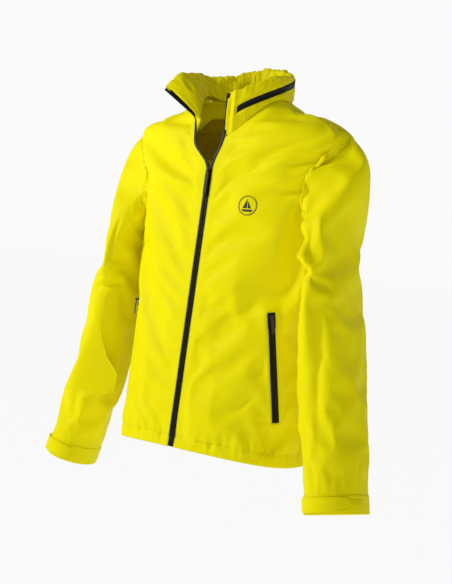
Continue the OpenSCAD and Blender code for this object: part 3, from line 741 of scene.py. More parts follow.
def all_folds():
    folds = []
    # Chest: a fan from the shoulder and the armhole towards the zip, ridge and hollow by turns
    for k in range(5):
        lift = 3.5 if k % 2 else -3.8
        folds.append(body_fold(1, (80 - 4 * k, -28 - 32 * k), (26, -100 - 20 * k), 8 + 1.6 * k, lift))
    folds.append(body_fold(-1, (60, -65), (12, -140), 15, -3.0))
    folds.append(body_fold(-1, (40, -130), (6, -165), 15, 3.0))
    folds.append(body_fold(-1, (70, -100), (58, -245), 14, -5.0))
    # Left front: the long hollow below the armhole, and creases about the pocket and the side
    folds.append(body_fold(1, (64, -150), (57, -385), 20, -7.0))
    folds.append(body_fold(1, (74, -205), (68, -420), 13, 4.0))
    folds.append(body_fold(1, (46, -525), (36, -560), 8, -3.5))
    folds.append(body_fold(1, (58, -560), (60, -635), 7, -4.0))
    for k in range(3):
        height = 4.0 if k == 1 else -3.5
        folds.append(body_fold(1, (82 - 5 * k, -505 - 28 * k), (66, -565 - 32 * k), 9, height))
    # Left sleeve: short folds across the underarm, then long ones down the arm
    for k in range(4):
        height = 5.0 if k % 2 == 0 else -5.5
        folds.append(sleeve_fold(1, (-0.12 + 0.05 * k, 145), (-0.10 + 0.05 * k, 75), 8, height))
    folds.append(sleeve_fold(1, (-0.28, 72), (0.03, 68), 10, -8.0))
    folds.append(sleeve_fold(1, (-0.28, 50), (0.04, 48), 9, 4.5))
    folds.append(sleeve_fold(1, (0.06, 82), (0.32, 100), 16, 5.0))
    folds.append(sleeve_fold(1, (0.06, 58), (0.58, 78), 17, -5.0))
    # Right sleeve: a hollow to the elbow and two creases across it
    folds.append(sleeve_fold(-1, (-0.10, 115), (0.10, 100), 11, -5.0))
    folds.append(sleeve_fold(-1, (0.12, 60), (0.07, 140), 9, 4.0))
    folds.append(sleeve_fold(-1, (0.17, 65), (0.13, 145), 8, -4.0))
    folds.append(sleeve_fold(-1, (0.40, 80), (0.60, 95), 10, -3.0))
    # Behind: from the shoulder blades to the waist, and down the back of each sleeve
    folds.append(body_fold(1, (180, -180), (178, -430), 20, 4.0))
    for side in (1, -1):
        folds.append(body_fold(side, (152, -115), (148, -450), 22, -6.0))
        folds.append(body_fold(side, (118, -110), (118, -330), 15, -5.0))
        folds.append(body_fold(side, (98, -300), (140, -470), 15, 4.0))
        folds.append(sleeve_fold(side, (-0.20, 290), (0.05, 290), 12, -5.0))
        folds.append(sleeve_fold(side, (0.15, 300), (0.55, 305), 13, 3.0))
    return folds


def fold_height(pts, line, width, height):
    """Bell-shaped ridge about a curve through the line's points, dying out at both its ends."""
    knots = np.array(line, float)
    at = np.linspace(0, len(knots) - 1, 8 * len(knots))
    curve = np.stack([np.interp(at, np.arange(len(knots)), knots[:, k]) for k in range(3)], -1)
    middle = knots.mean(0)
    reach = np.linalg.norm(knots - middle, axis=1).max() + 4 * width
    near = np.linalg.norm(pts - middle, axis=1) < reach
    gap = np.linalg.norm(pts[near][:, None] - curve[None], axis=2)
    best = gap.argmin(1)
    taper = np.sin(np.pi * (best + 0.6) / len(curve)) ** 0.7
    out = np.zeros(len(pts))
    out[near] = height * taper * np.exp(-1.25 * (gap.min(1) / width) ** 1.25)
    return out


def edge_hold(pts, lines):
    """0 at the zip edges, the neckline, the hem and the cuffs, rising to 1 inside the panels."""
    held = np.concatenate([lines["front_left"][:, 0], lines["front_right"][:, 0],
                           lines["front_left"][-1, :COLS // 2 + 1], lines["front_right"][-1, :COLS // 2 + 1],
                           lines["back"][-1, COLS // 2:-COLS // 2], lines["back"][0],
                           lines["front_left"][0], lines["front_right"][0],
                           lines["sleeve_left"][-1], lines["sleeve_right"][-1]])
    tree = tree_of(pts[held])
    gap = np.array([tree.find(p)[2] for p in pts])
    return ease(gap / 28.0)


def tree_of(points):
    tree = KDTree(len(points))
    for k, point in enumerate(points):
        tree.insert(point, k)
    tree.balance()
    return tree


def average_near(values, obj):
    """Local mean of a value over the net, which is the swelling that the folds ride on."""
    edges = np.empty(len(obj.data.edges) * 2, np.int32)
    obj.data.edges.foreach_get("vertices", edges)
    pairs = np.concatenate([edges.reshape(-1, 2), edges.reshape(-1, 2)[:, ::-1]])
    count = np.maximum(np.bincount(pairs[:, 0], minlength=len(values)), 1)[:, None]
    for _ in range(120):
        near = np.bincount(pairs[:, 0], values[pairs[:, 1], 0], len(values))[:, None] / count
        values = values * 0.4 + near * 0.6
    return values


def drape(obj, hold, growth, frames, most):
    """Cloth simulation with a little spare cloth: the panels buckle into folds between their seams."""
    rest = mesh_points(obj)
    group = obj.vertex_groups.new(name="held")
    level = np.round(1 - 0.93 * hold, 2)
    for value in np.unique(level):
        group.add(np.flatnonzero(level == value).tolist(), float(value), "REPLACE")
    mod = obj.modifiers.new("drape", "CLOTH")
    cloth = mod.settings
    cloth.quality, cloth.mass, cloth.air_damping = 5, 0.12, 2.0
    cloth.tension_stiffness = cloth.compression_stiffness = 9.0
    cloth.shear_stiffness, cloth.bending_stiffness = 4.0, 1.2
    cloth.vertex_group_mass, cloth.pin_stiffness = "held", 0.6
    cloth.shrink_min = -growth
    cloth.effector_weights.gravity = 0.0
    mod.collision_settings.use_collision = False
    mod.collision_settings.use_self_collision = False
    mod.point_cache.frame_start, mod.point_cache.frame_end = 1, frames
    for frame_number in range(1, frames + 1):
        bpy.context.scene.frame_set(frame_number)
    graph = bpy.context.evaluated_depsgraph_get()
    shaped = obj.evaluated_get(graph).data
    co = np.empty(len(shaped.vertices) * 3)
    shaped.vertices.foreach_get("co", co)
    move = co.reshape(-1, 3) / MM - rest
    obj.modifiers.clear()
    obj.vertex_groups.clear()
    bpy.context.scene.frame_set(1)
    normal = mesh_normals(obj)
    off = (move * normal).sum(1, keepdims=True)
    off = off - 0.75 * average_near(off, obj)
    along = move - (move * normal).sum(1, keepdims=True) * normal
    along = along * np.minimum(1, most / np.maximum(np.linalg.norm(along, axis=1, keepdims=True), 1e-6))
    set_points(obj, rest + along + normal * most * np.tanh(off * hold[:, None] / most))


def relax(pts, faces, hold, rounds):
    """Evens out the net inside its held edges."""
    pairs = np.concatenate([faces[:, [k, (k + 1) % 4]] for k in range(4)])
    pairs = np.concatenate([pairs, pairs[:, ::-1]])
    count = np.bincount(pairs[:, 0], minlength=len(pts))[:, None]
    for _ in range(rounds):
        sums = [np.bincount(pairs[:, 0], pts[pairs[:, 1], k], len(pts)) for k in range(3)]
        mean = np.stack(sums, -1) / count
        pts = pts + (mean - pts) * (0.5 * ease(hold * 3))[:, None]
    return pts


hold = edge_hold(net_points, seam_lines)
net_points = relax(net_points, net_faces, hold, 14)
set_points(garment, net_points)
relief = sum(fold_height(net_points, line, width, 2.0 * height) for line, width, height in all_folds())
relief = relief + 2.0 * noise(net_points, 70.0) + 1.0 * noise(net_points, 33.0, 5.3)
crumple = 2.6 * (ridges(net_points * np.array([1.0, 1.0, 0.55]), 58.0, 3.1) - 0.35)
relief = relief + crumple * (1 - 0.6 * ease((np.abs(net_points[:, 0]) - 185) / 35))
set_points(garment, net_points + mesh_normals(garment) * (relief * hold)[:, None])
drape(garment, hold, growth=0.045, frames=24, most=9.0)

# What lies on or under the cloth is carried along with it
flat_points = build_net()[0]
net_shift = mesh_points(garment) - flat_points
shift_tree = tree_of(flat_points)


def carried(pts):
    """Points on or near the drafted shape, moved as the cloth there has moved."""
    pts = np.asarray(pts, float)
    flat = pts.reshape(-1, 3)
    out = np.empty_like(flat)
    for k, p in enumerate(flat):
        near = shift_tree.find_n(p, 6)
        weight = np.array([1 / (n[2] + 1.0) ** 2 for n in near])
        out[k] = p + (net_shift[[n[1] for n in near]] * weight[:, None]).sum(0) / weight.sum()
    return out.reshape(pts.shape)


apply_modifier(garment, "SUBSURF", levels=1, boundary_smooth="PRESERVE_CORNERS")


def seam_curves():
    """Every sewn seam of the shell as points in mm, by name."""
    t = np.linspace(0, 1, 160)
    curves = {}
    for side, name in ((1, "left"), (-1, "right")):
        ring = mirrored(armhole_pt(np.linspace(0, 359.9, 260)), side)
        curves["armhole_" + name] = ring
        z = lerp(float(hem_height(90)), ARMPIT_Z, t)
        curves["side_" + name] = mirrored(body_pt(np.full(160, 90.0), z), side)
        z = lerp(NECK_RISE, SHOULDER_Z, t)
        curves["shoulder_" + name] = mirrored(body_pt(np.full(160, 90.0), z), side)
    curves["centre_back"] = body_pt(np.full(160, 180.0), lerp(HEM_Z, 8.0, t))
    return {name: carried(line) for name, line in curves.items()}


SEAMS = seam_curves()


def shape_details(obj):
    """Seam grooves, the gathered hem and the raised edges of the pockets."""
    pts, normal = mesh_points(obj), mesh_normals(obj)
    lines = np.concatenate(list(SEAMS.values()))
    tree = tree_of(lines)
    gap = np.array([tree.find(p)[2] for p in pts])
    pucker = 1.3 * noise(pts, 9.0, 2.2) * np.exp(-(gap / 9.0) ** 2)
    groove, lip = -1.5 * np.exp(-(gap / 2.6) ** 2), 0.5 * np.exp(-((gap - 6.0) / 3.5) ** 2)
    pts = pts + normal * (pucker + groove + lip)[:, None]
    # Hem: short upright gathers that fade out above the casing
    on_body = np.abs(pts[:, 0]) < HEM_HW + 6
    angle = np.degrees(np.arctan2(np.abs(pts[:, 0]) / HEM_HW, (MID_Y - pts[:, 1]) / 110.0))
    rise = pts[:, 2] - hem_height(angle)
    reach = np.exp(-((rise - 21) / 17.0) ** 2) * on_body * (rise < 70)
    quarter = np.sign(pts[:, 0]) * 3 + (pts[:, 1] > MID_Y)
    around = np.stack([angle * 3.4 / 9.0, rise / 60.0, quarter], -1)
    gather = 4.6 * (ridges(around, 1.0, 0.4) - 0.3) * reach
    band = -1.3 * np.exp(-((rise - 21.5) / 2.2) ** 2) * on_body
    pts = pts + normal * (gather + band)[:, None]
    # Pocket zips are straight, so the cloth rises to meet them and stands in a lip along both edges
    for side in (1, -1):
        top, low, up, face, across = pocket_frame(side)
        length = np.linalg.norm(top - low)
        v = pts - low
        s, x, h = v @ up, v @ across, v @ face
        beyond = np.maximum(0, np.maximum(-s - 2, s - length - 3))
        dist = np.hypot(np.maximum(0, np.abs(x) - ZIP_BAND / 2 - 1.0), beyond)
        pull = np.exp(-(dist / 11.0) ** 2) * (h > -25) * (np.abs(x) < 70)
        lip = 1.5 * np.exp(-((dist - 2.2) / 2.4) ** 2) - 1.2 * (dist < 0.5)
        pts = pts + face * ((POCKET_LIFT - 0.6 - h) * pull + lip * (pull > 0.05))[:, None]
    set_points(obj, pts)


shape_details(garment)
surface_tree = BVHTree.FromPolygons(mesh_points(garment).tolist(),
                                    [list(p.vertices) for p in garment.data.polygons])


def on_cloth(pts, lift=0.0):
    """Nearest points of the finished cloth, raised by lift, and the outward directions there."""
    out, face = [], []
    for p in np.asarray(pts, float).reshape(-1, 3):
        place, normal, _, _ = surface_tree.find_nearest(Vector(p))
        out.append(np.array(place) + np.array(normal) * lift)
        face.append(np.array(normal))
    return np.array(out), np.array(face)


def panel_object(source, panel, name):
    """The part of the garment's mesh that belongs to one panel, as its own object."""
    mesh = source.data
    kind = np.empty(len(mesh.polygons), np.int32)
    mesh.polygons.foreach_get("material_index", kind)
    verts = np.empty(len(mesh.polygons) * 4, np.int32)
    mesh.polygons.foreach_get("vertices", verts)
    quads = verts.reshape(-1, 4)[kind == PANELS.index(panel)]
    used, compact = np.unique(quads, return_inverse=True)
    return new_object(name, mesh_points(source)[used], compact.reshape(-1, 4))


SHELL_T = 1.3
SLEEVE_BODY = {"left": "sleeve_left_body", "right": "sleeve_right_body"}


def cut_area(panel):
    """Flat area in square metres of a panel as drafted, before any fold, crinkle or simulation."""
    points, faces, kind, _ = build_net()
    q = points[faces[np.asarray(kind) == PANELS.index(panel)]] * MM
    return float(np.linalg.norm(np.cross(q[:, 2] - q[:, 0], q[:, 3] - q[:, 1]), axis=1).sum() / 2)


def shell_panel(panel, name, replaced):
    obj = panel_object(garment, panel, name)
    apply_modifier(obj, "SOLIDIFY", thickness=SHELL_T * MM, offset=-1.0)
    finish(obj, "shell", None if "sleeve" in panel else "shell", replaced)
    cut_area(panel)
    return obj


panels = {
    "front_left": shell_panel("front_left", "front_left_cloth", ["front_panel_left"]),
    "front_right": shell_panel("front_right", "front_right_cloth", ["front_panel_right"]),
    "back_left": shell_panel("back_left", "back_left_cloth", ["back_panel_left"]),
    "back_right": shell_panel("back_right", "back_right_cloth", ["back_panel_right"]),
    "sleeve_left": shell_panel("sleeve_left", "sleeve_left_cloth",
                               ["sleeve_cap_left", "underarm_left", "top_sleeve_left", "under_sleeve_left"]),
    "sleeve_right": shell_panel("sleeve_right", "sleeve_right_cloth",
                                ["sleeve_cap_right", "underarm_right", "top_sleeve_right",
                                 "under_sleeve_right"]),
}


def blend_sleeve(obj, side):
    start, along = (np.asarray(v)[0] for v in sleeve_frame(np.array([JOINT_T - 0.04]), side)[:2])
    start = start * [side, 1, 1] * MM
    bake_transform(obj)


blend_sleeve(panels["sleeve_left"], 1)
blend_sleeve(panels["sleeve_right"], -1)
bpy.data.objects.remove(garment)
# ---------------------------------------------------------------- lines, ribbons and stitches
def arc_length(line):
    return np.concatenate([[0], np.cumsum(np.linalg.norm(np.diff(line, axis=0), axis=1))])


def resample(line, count, soften=0):
    """Evenly spaced points along a line; soften averages out its corners and keeps its ends."""
    at = arc_length(line)
    even = np.linspace(0, at[-1], count)
    out = np.stack([np.interp(even, at, line[:, k]) for k in range(3)], -1)
    for _ in range(soften):
        out[1:-1] = (out[:-2] + 2 * out[1:-1] + out[2:]) / 4
    return out


def sweep(name, left, right, face, section):
    """Closed ribbon between two rails. section lists (share across, height in mm) around the outline."""
    rings = [left + (right - left) * share + face * height for share, height in section]
    pts = np.stack(rings, 1)
    rows, cols = pts.shape[:2]
    index = np.arange(rows * cols).reshape(rows, cols)
    faces = [list(q) for q in grid_faces(index, closed=True)] + [list(index[0]), list(index[-1])]
    obj = new_object(name, pts, faces)
    fix_normals(obj)
    return obj


def crown(thick, round_share=0.08):
    """Outline of a ribbon with rounded edges."""
    half, r = thick / 2, round_share
    return [(0, half * 0.4), (r * 0.4, half * 0.85), (r, half), (0.5, half * 1.12), (1 - r, half),
            (1 - r * 0.4, half * 0.85), (1, half * 0.4), (1, -half * 0.4), (1 - r, -half), (r, -half),
            (0, -half * 0.4)]


def stitches(name, lines, faces, body=None, pitch=4.2, length=2.9, width=0.55):
    """Dashes of thread along lines that lie on the cloth; faces holds the outward direction at each point."""
    pts, quads = [], []
    for line, face in zip(lines, faces):
        at = arc_length(line)
        for start in np.arange(pitch, at[-1] - pitch, pitch):
            a, b, n = (np.array([np.interp(s, at, grid[:, k]) for k in range(3)])
                       for s, grid in ((start, line), (start + length, line), (start, face)))
            side = unit(np.cross(b - a, n)) * width / 2
            n = unit(n)
            base = len(pts)
            pts += [a - side - n * 0.2, a + side - n * 0.2, b + side - n * 0.2, b - side - n * 0.2,
                    (a * 3 + b) / 4 + side * 0.3 + n * 0.42, (a + 3 * b) / 4 + side * 0.3 + n * 0.42,
                    (a * 3 + b) / 4 - side * 0.3 + n * 0.42, (a + 3 * b) / 4 - side * 0.3 + n * 0.42]
            quads += [[base + k for k in q] for q in
                      ((0, 1, 4, 6), (1, 2, 5, 4), (2, 3, 7, 5), (3, 0, 6, 7), (4, 5, 7, 6), (3, 2, 1, 0))]
    obj = new_object(name, np.array(pts), quads)
    fix_normals(obj)
    return finish(obj, "thread", body)


# ---------------------------------------------------------------- collar
COLLAR_COLS = 240
ZIP_END_B, ZIP_START_B = 285.0, 24.0
COLLAR_ZIP_SIDE_Z, COLLAR_ZIP_SLOPE, COLLAR_ZIP_FRONT_Z = 36.0, 0.4, -17.0


def end_taper(b):
    """1 along the collar, falling to a third of its thickness at both front ends."""
    near = np.minimum(b - COLLAR_B0, COLLAR_B1 - b)
    return lerp(0.34, 1.0, ease(near / 16.0))


def collar_zip_share(b):
    c = np.where(b <= 180, b, 360 - b)
    front = lerp(COLLAR_ZIP_FRONT_Z, COLLAR_ZIP_SIDE_Z,
                 np.maximum(0, (c - ZIP_START_B) / (90 - ZIP_START_B)) ** 0.85)
    r = np.radians(b)
    y = NECK_Y - np.where(np.cos(r) >= 0, NECK_FRONT_R, NECK_BACK_R) * np.cos(r)
    z = np.where(c < 90, front, COLLAR_ZIP_SIDE_Z + COLLAR_ZIP_SLOPE * (y - NECK_Y))
    z0, z1 = neck_pt(b)[..., 2], rim_pt(b)[..., 2]
    return (z - z0) / (z1 - z0)


def collar_gathers(b, rise, strength, shift):
    """Vertical gathers and small creases: height of the cloth in mm at angle b and height share."""
    arc = b * 1.5
    p = np.stack(np.broadcast_arrays(arc / 15, rise * 1.6, 0.0), -1)
    q = np.stack(np.broadcast_arrays(arc / 7, rise * 3.4, 3.7), -1)
    w = np.stack(np.broadcast_arrays(arc / 34 + rise * 1.3, rise * 2.2, 8.1), -1)
    return strength * (1.5 * (ridges(p, 1.0, shift) - 0.35) + 0.7 * (ridges(q, 1.0, shift) - 0.35)
                       + 1.6 * noise(w, 1.0, shift))


def collar_sheet(name, outside):
    """One side of the collar, from its base seam to the middle of the rim."""
    b = np.linspace(COLLAR_B0 + 2.6, COLLAR_B1 - 2.6, COLLAR_COLS)
    wall, roll = 26, 8
    rows = []
    for k in range(wall + roll):
        h = min(1.0, k / (wall - 1)) if outside else lerp(0.02, 1.0, min(1.0, k / (wall - 1)))
        turn = math.pi / 2 * max(0, k - wall + 1) / roll
        thick = COLLAR_T * end_taper(b)
        base = (COLLAR_T - thick) * 0.5
        swell = 3.2 * math.sin(math.pi * min(h, 1.0)) ** 0.7
        if outside:
            depth = base + thick / 2 * (1 - math.cos(turn)) - swell
        else:
            depth = base + thick - thick / 2 * (1 - math.cos(turn)) + swell
        point = collar_pt(b, np.full(b.shape, h), depth)
        up = unit(rim_pt(b) - neck_pt(b))
        point = point + up * (thick / 2 * math.sin(turn))[:, None]
        inside_sign = -1.0 if outside else 1.0
        normal = collar_normal(b) * inside_sign
        rise = h + 0.15 * turn
        near_zip = np.zeros(b.shape)
        if outside:
            on_tape = (b > ZIP_START_B - 3) & (b < ZIP_END_B + 3)
            gap = np.abs(h - collar_zip_share(b)) * np.linalg.norm(rim_pt(b) - neck_pt(b), axis=1)
            near_zip = np.where(on_tape, 1 - ease((gap - 5.5) / 5.0), 0)
        fade = ease(h / 0.14) * ease((np.minimum(b - COLLAR_B0, COLLAR_B1 - b)) / 7.0)
        strength, shift = (1.15, 0.0) if outside else (2.1, 11.0)
        amount = collar_gathers(b, rise, strength, shift) * (1 - near_zip) * fade
        if outside:
            # Deep upright folds beside the front edge, where the hood's fabric is pushed together
            depth_share = 0.4 + 0.6 * math.sin(math.pi * min(h, 1))
            amount = amount - 4.0 * np.exp(-((b - 15.5) / 2.4) ** 2) * fade * depth_share
            amount = amount + 3.0 * np.exp(-((b - 20.5) / 2.6) ** 2) * fade
            depth_flat = -1.0
            flat = collar_pt(b, np.full(b.shape, h), np.full(b.shape, depth_flat))
            point = point + (flat - point) * (near_zip * (turn == 0))[:, None]
        wave = np.sin(b * 0.21) + 0.7 * np.sin(b * 0.37 + 1.0) + 0.6 * np.sin(b * 0.83)
        point = point + normal * amount[:, None] + up * (1.3 * wave * ease((h - 0.45) / 0.5) * fade)[:, None]
        rows.append(point)
    grid = np.array(rows)
    index = np.arange(grid.shape[0] * grid.shape[1]).reshape(grid.shape[:2])
    obj = new_object(name, grid, grid_faces(index, flip=not outside))
    apply_modifier(obj, "SUBSURF", levels=1, boundary_smooth="PRESERVE_CORNERS")
    apply_modifier(obj, "SOLIDIFY", thickness=1.1 * MM, offset=-1.0)
    return obj


collar_outside = finish(collar_sheet("collar_outside_cloth", True), "collar", "shell", ["collar_outer"])
collar_inside = finish(collar_sheet("collar_inside_cloth", False), "collar", "shell", ["collar_facing"])


def hood_in_collar():
    """The hood, rolled up flat between the two sides of the collar."""
    b = np.linspace(COLLAR_B0 + 14, COLLAR_B1 - 14, 150)
    rings = []
    for k in range(20):
        w = 2 * math.pi * k / 20
        h = 0.62 + 0.3 * math.cos(w)
        d = COLLAR_T / 2 + 3.6 * math.sin(w)
        crinkle = 0.5 * noise(np.stack([b / 4, b * 0 + k, b * 0], -1), 1.0)
        ring = collar_pt(b, np.full(b.shape, h), np.full(b.shape, d))
        rings.append(ring + collar_normal(b) * crinkle[:, None])
    grid = np.array(rings).transpose(1, 0, 2)
    index = np.arange(grid.shape[0] * 20).reshape(-1, 20)
    faces = [list(q) for q in grid_faces(index, closed=True)] + [list(index[0]), list(index[-1])]
    obj = new_object("hood_rolled", grid, faces)
    fix_normals(obj)
    return obj


# The collar's two sides are drafted 0.498 m and 0.450 m around.
hood = finish(hood_in_collar(), "collar", "shell", ["hood_roll"])


# ---------------------------------------------------------------- zips
def tape_section(thick=1.3):
    return crown(thick, 0.1)


def front_zip_half(side, name):
    """One half of the front zip, from the hem up the front edge and the collar's end."""
    splay = LEFT_SPLAY if side > 0 else RIGHT_SPLAY
    b_edge = COLLAR_B0 if side > 0 else COLLAR_B1
    toward = 1 if side > 0 else -1
    z = np.linspace(HEM_Z + HEM_RISE + 1, NECK_FRONT_Z - 6, 150)
    h = np.linspace(0.16, 1.0, 30)
    rails = []
    for across, deg in ((0.22, 0.1), (TAPE_W + 1.2, 4.6)):
        body = mirrored(body_pt(angle_at(edge_x(z, splay) + across, z), z), side)
        mid = COLLAR_T / 2 - COLLAR_T * 0.17 - 1.2
        collar = collar_pt(np.full(h.shape, b_edge + toward * deg), h, np.full(h.shape, mid))
        rails.append(resample(np.concatenate([body, collar]), 300, soften=14))
    face = unit(np.cross(np.gradient(rails[0], axis=0), rails[1] - rails[0]))
    face = face * np.sign(-face[40, 1])
    obj = sweep(name, rails[0], rails[1], face, tape_section())
    return finish(obj, "tape", "shell"), rails, face


tapes = {}
for side_sign, side_name in ((1, "left"), (-1, "right")):
    tape, rails, face = front_zip_half(side_sign, "front_zip_tape_" + side_name)
    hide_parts("main_zip_tape_" + side_name)
    tapes[side_name] = (rails, face)


def front_coil(side, name, replaced):
    """Coil along the free edge of one tape: a bead with a tooth at every pitch."""
    rails, face = tapes[name]
    edge, across = rails[0], unit(rails[1] - rails[0])
    at = arc_length(edge)
    pitch, ring = 1.25, 6
    start = 17.0
    places = np.arange(start, at[-1] - 6, pitch / 2)
    line = np.stack([np.interp(places, at, edge[:, k]) for k in range(3)], -1)
    out = np.stack([np.interp(places, at, face[:, k]) for k in range(3)], -1)
    sideways = np.stack([np.interp(places, at, across[:, k]) for k in range(3)], -1)
    radius = np.where(np.arange(len(places)) % 2 == 0, 0.85, 0.55)[:, None]
    rings = [line + sideways * 0.75 - out * 1.35 + (sideways * math.cos(w) + out * math.sin(w)) * radius
             for w in np.arange(ring) * 2 * math.pi / ring]
    grid = np.stack(rings, 1)
    index = np.arange(grid.shape[0] * ring).reshape(-1, ring)
    faces = [list(q) for q in grid_faces(index, closed=True)] + [list(index[0]), list(index[-1])]
    obj = new_object("front_zip_coil_" + name, grid, faces)
    fix_normals(obj)
    return finish(obj, "coil", "shell", [replaced])


front_coil(1, "left", "main_zip_coil_left")
front_coil(-1, "right", "main_zip_coil_right")


def collar_zip():
    """Closed zip of the hood's compartment, round the outside of the collar."""
    b = np.linspace(ZIP_START_B, ZIP_END_B, 220)
    share = collar_zip_share(b)
    half = ZIP_BAND / 2 / np.linalg.norm(rim_pt(b) - neck_pt(b), axis=1)
    low = collar_pt(b, share - half, np.full(b.shape, -1.7))
    high = collar_pt(b, share + half, np.full(b.shape, -1.7))
    face = -collar_normal(b)
    groove = [(0, 0.2), (0.03, 0.55), (0.08, 0.7), (0.46, 0.75), (0.5, 0.3), (0.54, 0.75), (0.92, 0.7),
              (0.97, 0.55), (1, 0.2), (1, -0.5), (0, -0.5)]
    return finish(sweep("collar_zip_band", low, high, face, groove), "tape", "shell", ["collar_zip_tape"])


collar_zip()


# ---------------------------------------------------------------- hand pockets
def pocket_zip(side, name):
    top, low, _, face, across = pocket_frame(side)
    line = np.linspace(low, top, 60) + face * (POCKET_LIFT + 0.2)
    rails = line - across * ZIP_BAND / 2, line + across * ZIP_BAND / 2
    groove = [(0, 0.1), (0.03, 0.5), (0.08, 0.62), (0.46, 0.66), (0.5, 0.25), (0.54, 0.66), (0.92, 0.62),
              (0.97, 0.5), (1, 0.1), (1, -0.7), (0, -0.7)]
    obj = sweep("pocket_zip_band_" + name, *rails, np.broadcast_to(face, line.shape), groove)
    return finish(obj, "tape", "shell", ["pocket_zip_tape_" + name])


pocket_zip(1, "left")
pocket_zip(-1, "right")


def pocket_pouch(side, name):
    """Empty pocket bag: two layers of lining, slightly apart, rounded at its lower corners."""
    rows, cols = 44, 30
    v, u = np.meshgrid(np.linspace(0, 1, rows), np.linspace(0, 1, cols), indexing="ij")
    low, high = HEM_Z + 47, POCKET_TOP_Z + 10
    round_off = np.clip((0.16 - v) / 0.16, 0, 1) ** 2 * 7.0
    angle = lerp(25 + round_off, 73 - round_off, u)
    z = lerp(low, high, v)
    belly = np.sin(np.pi * u).clip(0) ** 0.5 * np.sin(np.pi * np.clip(v * 1.02, 0, 1)).clip(0) ** 0.5
    ripple = 0.5 * noise(np.stack([u * 6, v * 8, u * 0 + side], -1), 1.0) * belly
    outer = carried(mirrored(body_pt(angle, z, 6.2 - 1.2 * belly + ripple), side))
    inner = carried(mirrored(body_pt(angle, z, 6.6 + 1.8 * belly + ripple), side))
    obj = solid_grid("pocket_pouch_" + name, outer, inner)
    finish(obj, "bag", "shell", ["pocket_bag_" + name])
    return obj


pocket_pouch(1, "left")
pocket_pouch(-1, "right")


# ---------------------------------------------------------------- hem, flap and linings
def hem_facing():
    steps, rows = 260, 7
    start = float(angle_at(TAPE_W + 1, HEM_Z))
    angle, k = np.meshgrid(np.linspace(start, 360 - start, steps), np.linspace(0, 1, rows))
    ripple = 0.3 * noise(np.stack([angle / 3, k * 2, k * 0], -1), 1.0)
    pucker = 0.5 * np.sin(angle * 2.3) * np.sin(np.pi * k) + ripple
    z = hem_height(angle) + 1 + 22 * k
    outer, inner = (carried(body_pt(angle, z, depth + pucker)) for depth in (3.9, 4.8))
    obj = finish(solid_grid("hem_facing_band", outer, inner), "shell", "shell", ["hem_casing"])


def wind_flap():
    rows, cols = 120, 12
    z, x = np.meshgrid(np.linspace(HEM_Z + 46, FORK_Z - 10, rows), np.linspace(-20, 20, cols), indexing="ij")
    wave = 0.5 * noise(np.stack([z / 30, x / 20, x * 0], -1), 1.0)
    sign = np.where(x < 0, -1, 1)
    mirror = np.stack([sign, sign * 0 + 1, sign * 0 + 1], -1)
    outer, inner = (body_pt(angle_at(x, z), z, depth + wave) * mirror
                    for depth in (4.4, 5.4))
    obj = finish(solid_grid("wind_flap", outer, inner), "shell", "shell", ["storm_flap"])


def yoke_lining():
    rows, cols = 26, 60
    v, angle = np.meshgrid(np.linspace(0, 1, rows), np.linspace(126, 234, cols), indexing="ij")
    top = -8 - 12 * np.abs(np.cos(np.radians(angle / 2)))
    z = lerp(-103.0, top, v)
    wave = 0.7 * noise(np.stack([angle / 9, v * 3, v * 0], -1), 1.0)
    outer, inner = (carried(body_pt(angle, z, depth + wave)) for depth in (6.0, 6.9))
    # The patch is coloured olive as painted shade, for the shade that falls inside the back of the neck.
    obj = finish(solid_grid("neck_lining_painted_shade_patch", outer, inner), "lining", "shell", ["neck_lining"])


hem_facing()
wind_flap()
yoke_lining()


# ---------------------------------------------------------------- cuffs and their tabs
def cuff_band(side, name):
    """Turned-up end of the sleeve with a stitched upper edge and an open mouth."""
    profile = ((-0.0008, 0.6), (0.0012, -0.9), (0.006, -1.3), (0.012, -0.9), (0.03, -1.4), (0.044, -1.3),
               (0.048, -0.8), (0.051, -1.2), (0.0542, -0.8), (0.0552, 0.4), (0.0545, 1.7), (0.05, 2.3),
               (0.03, 2.6), (0.006, 2.4))
    angle = np.linspace(0, 360, 120, endpoint=False)
    rings = []
    for offset, inset in profile:
        t = np.full(angle.shape, CUFF_T + offset * (1 - CUFF_T) / 0.0548)
        pts = ring_pt(t, angle, side, inset)
        rings.append(pts)
    grid = mirrored(np.array(rings), side)
    index = np.arange(grid.shape[0] * grid.shape[1]).reshape(grid.shape[:2])
    loop = np.concatenate([index, index[:1]])
    obj = new_object("cuff_band_" + name, grid, grid_faces(loop, closed=True))
    fix_normals(obj)
    apply_modifier(obj, "SUBSURF", levels=1)
    finish(obj, "shell", SLEEVE_BODY[name], ["cuff_" + name])
    return obj


TAB_ROOT, TAB_SWEEP = 118.0, 105.0


def patch_grid(side, start, stop, lift, margin, rounding, rows=12, cols=60, shrink_by=0.0):
    s, k = np.meshgrid(np.linspace(0, 1, cols), np.linspace(-1, 1, rows))
    x = np.clip((s - 1 + rounding) / max(rounding, 1e-6), 0, 1)
    narrow = np.sqrt(np.maximum(0.004, 1 - x * x)) if rounding else 1.0
    half = (1 - CUFF_T) / 2 - (margin + shrink_by) / AXIS_LEN
    t = (CUFF_T + 1) / 2 + half * narrow * k
    return mirrored(ring_pt(t, lerp(start, stop, s), side, -lift), side), k


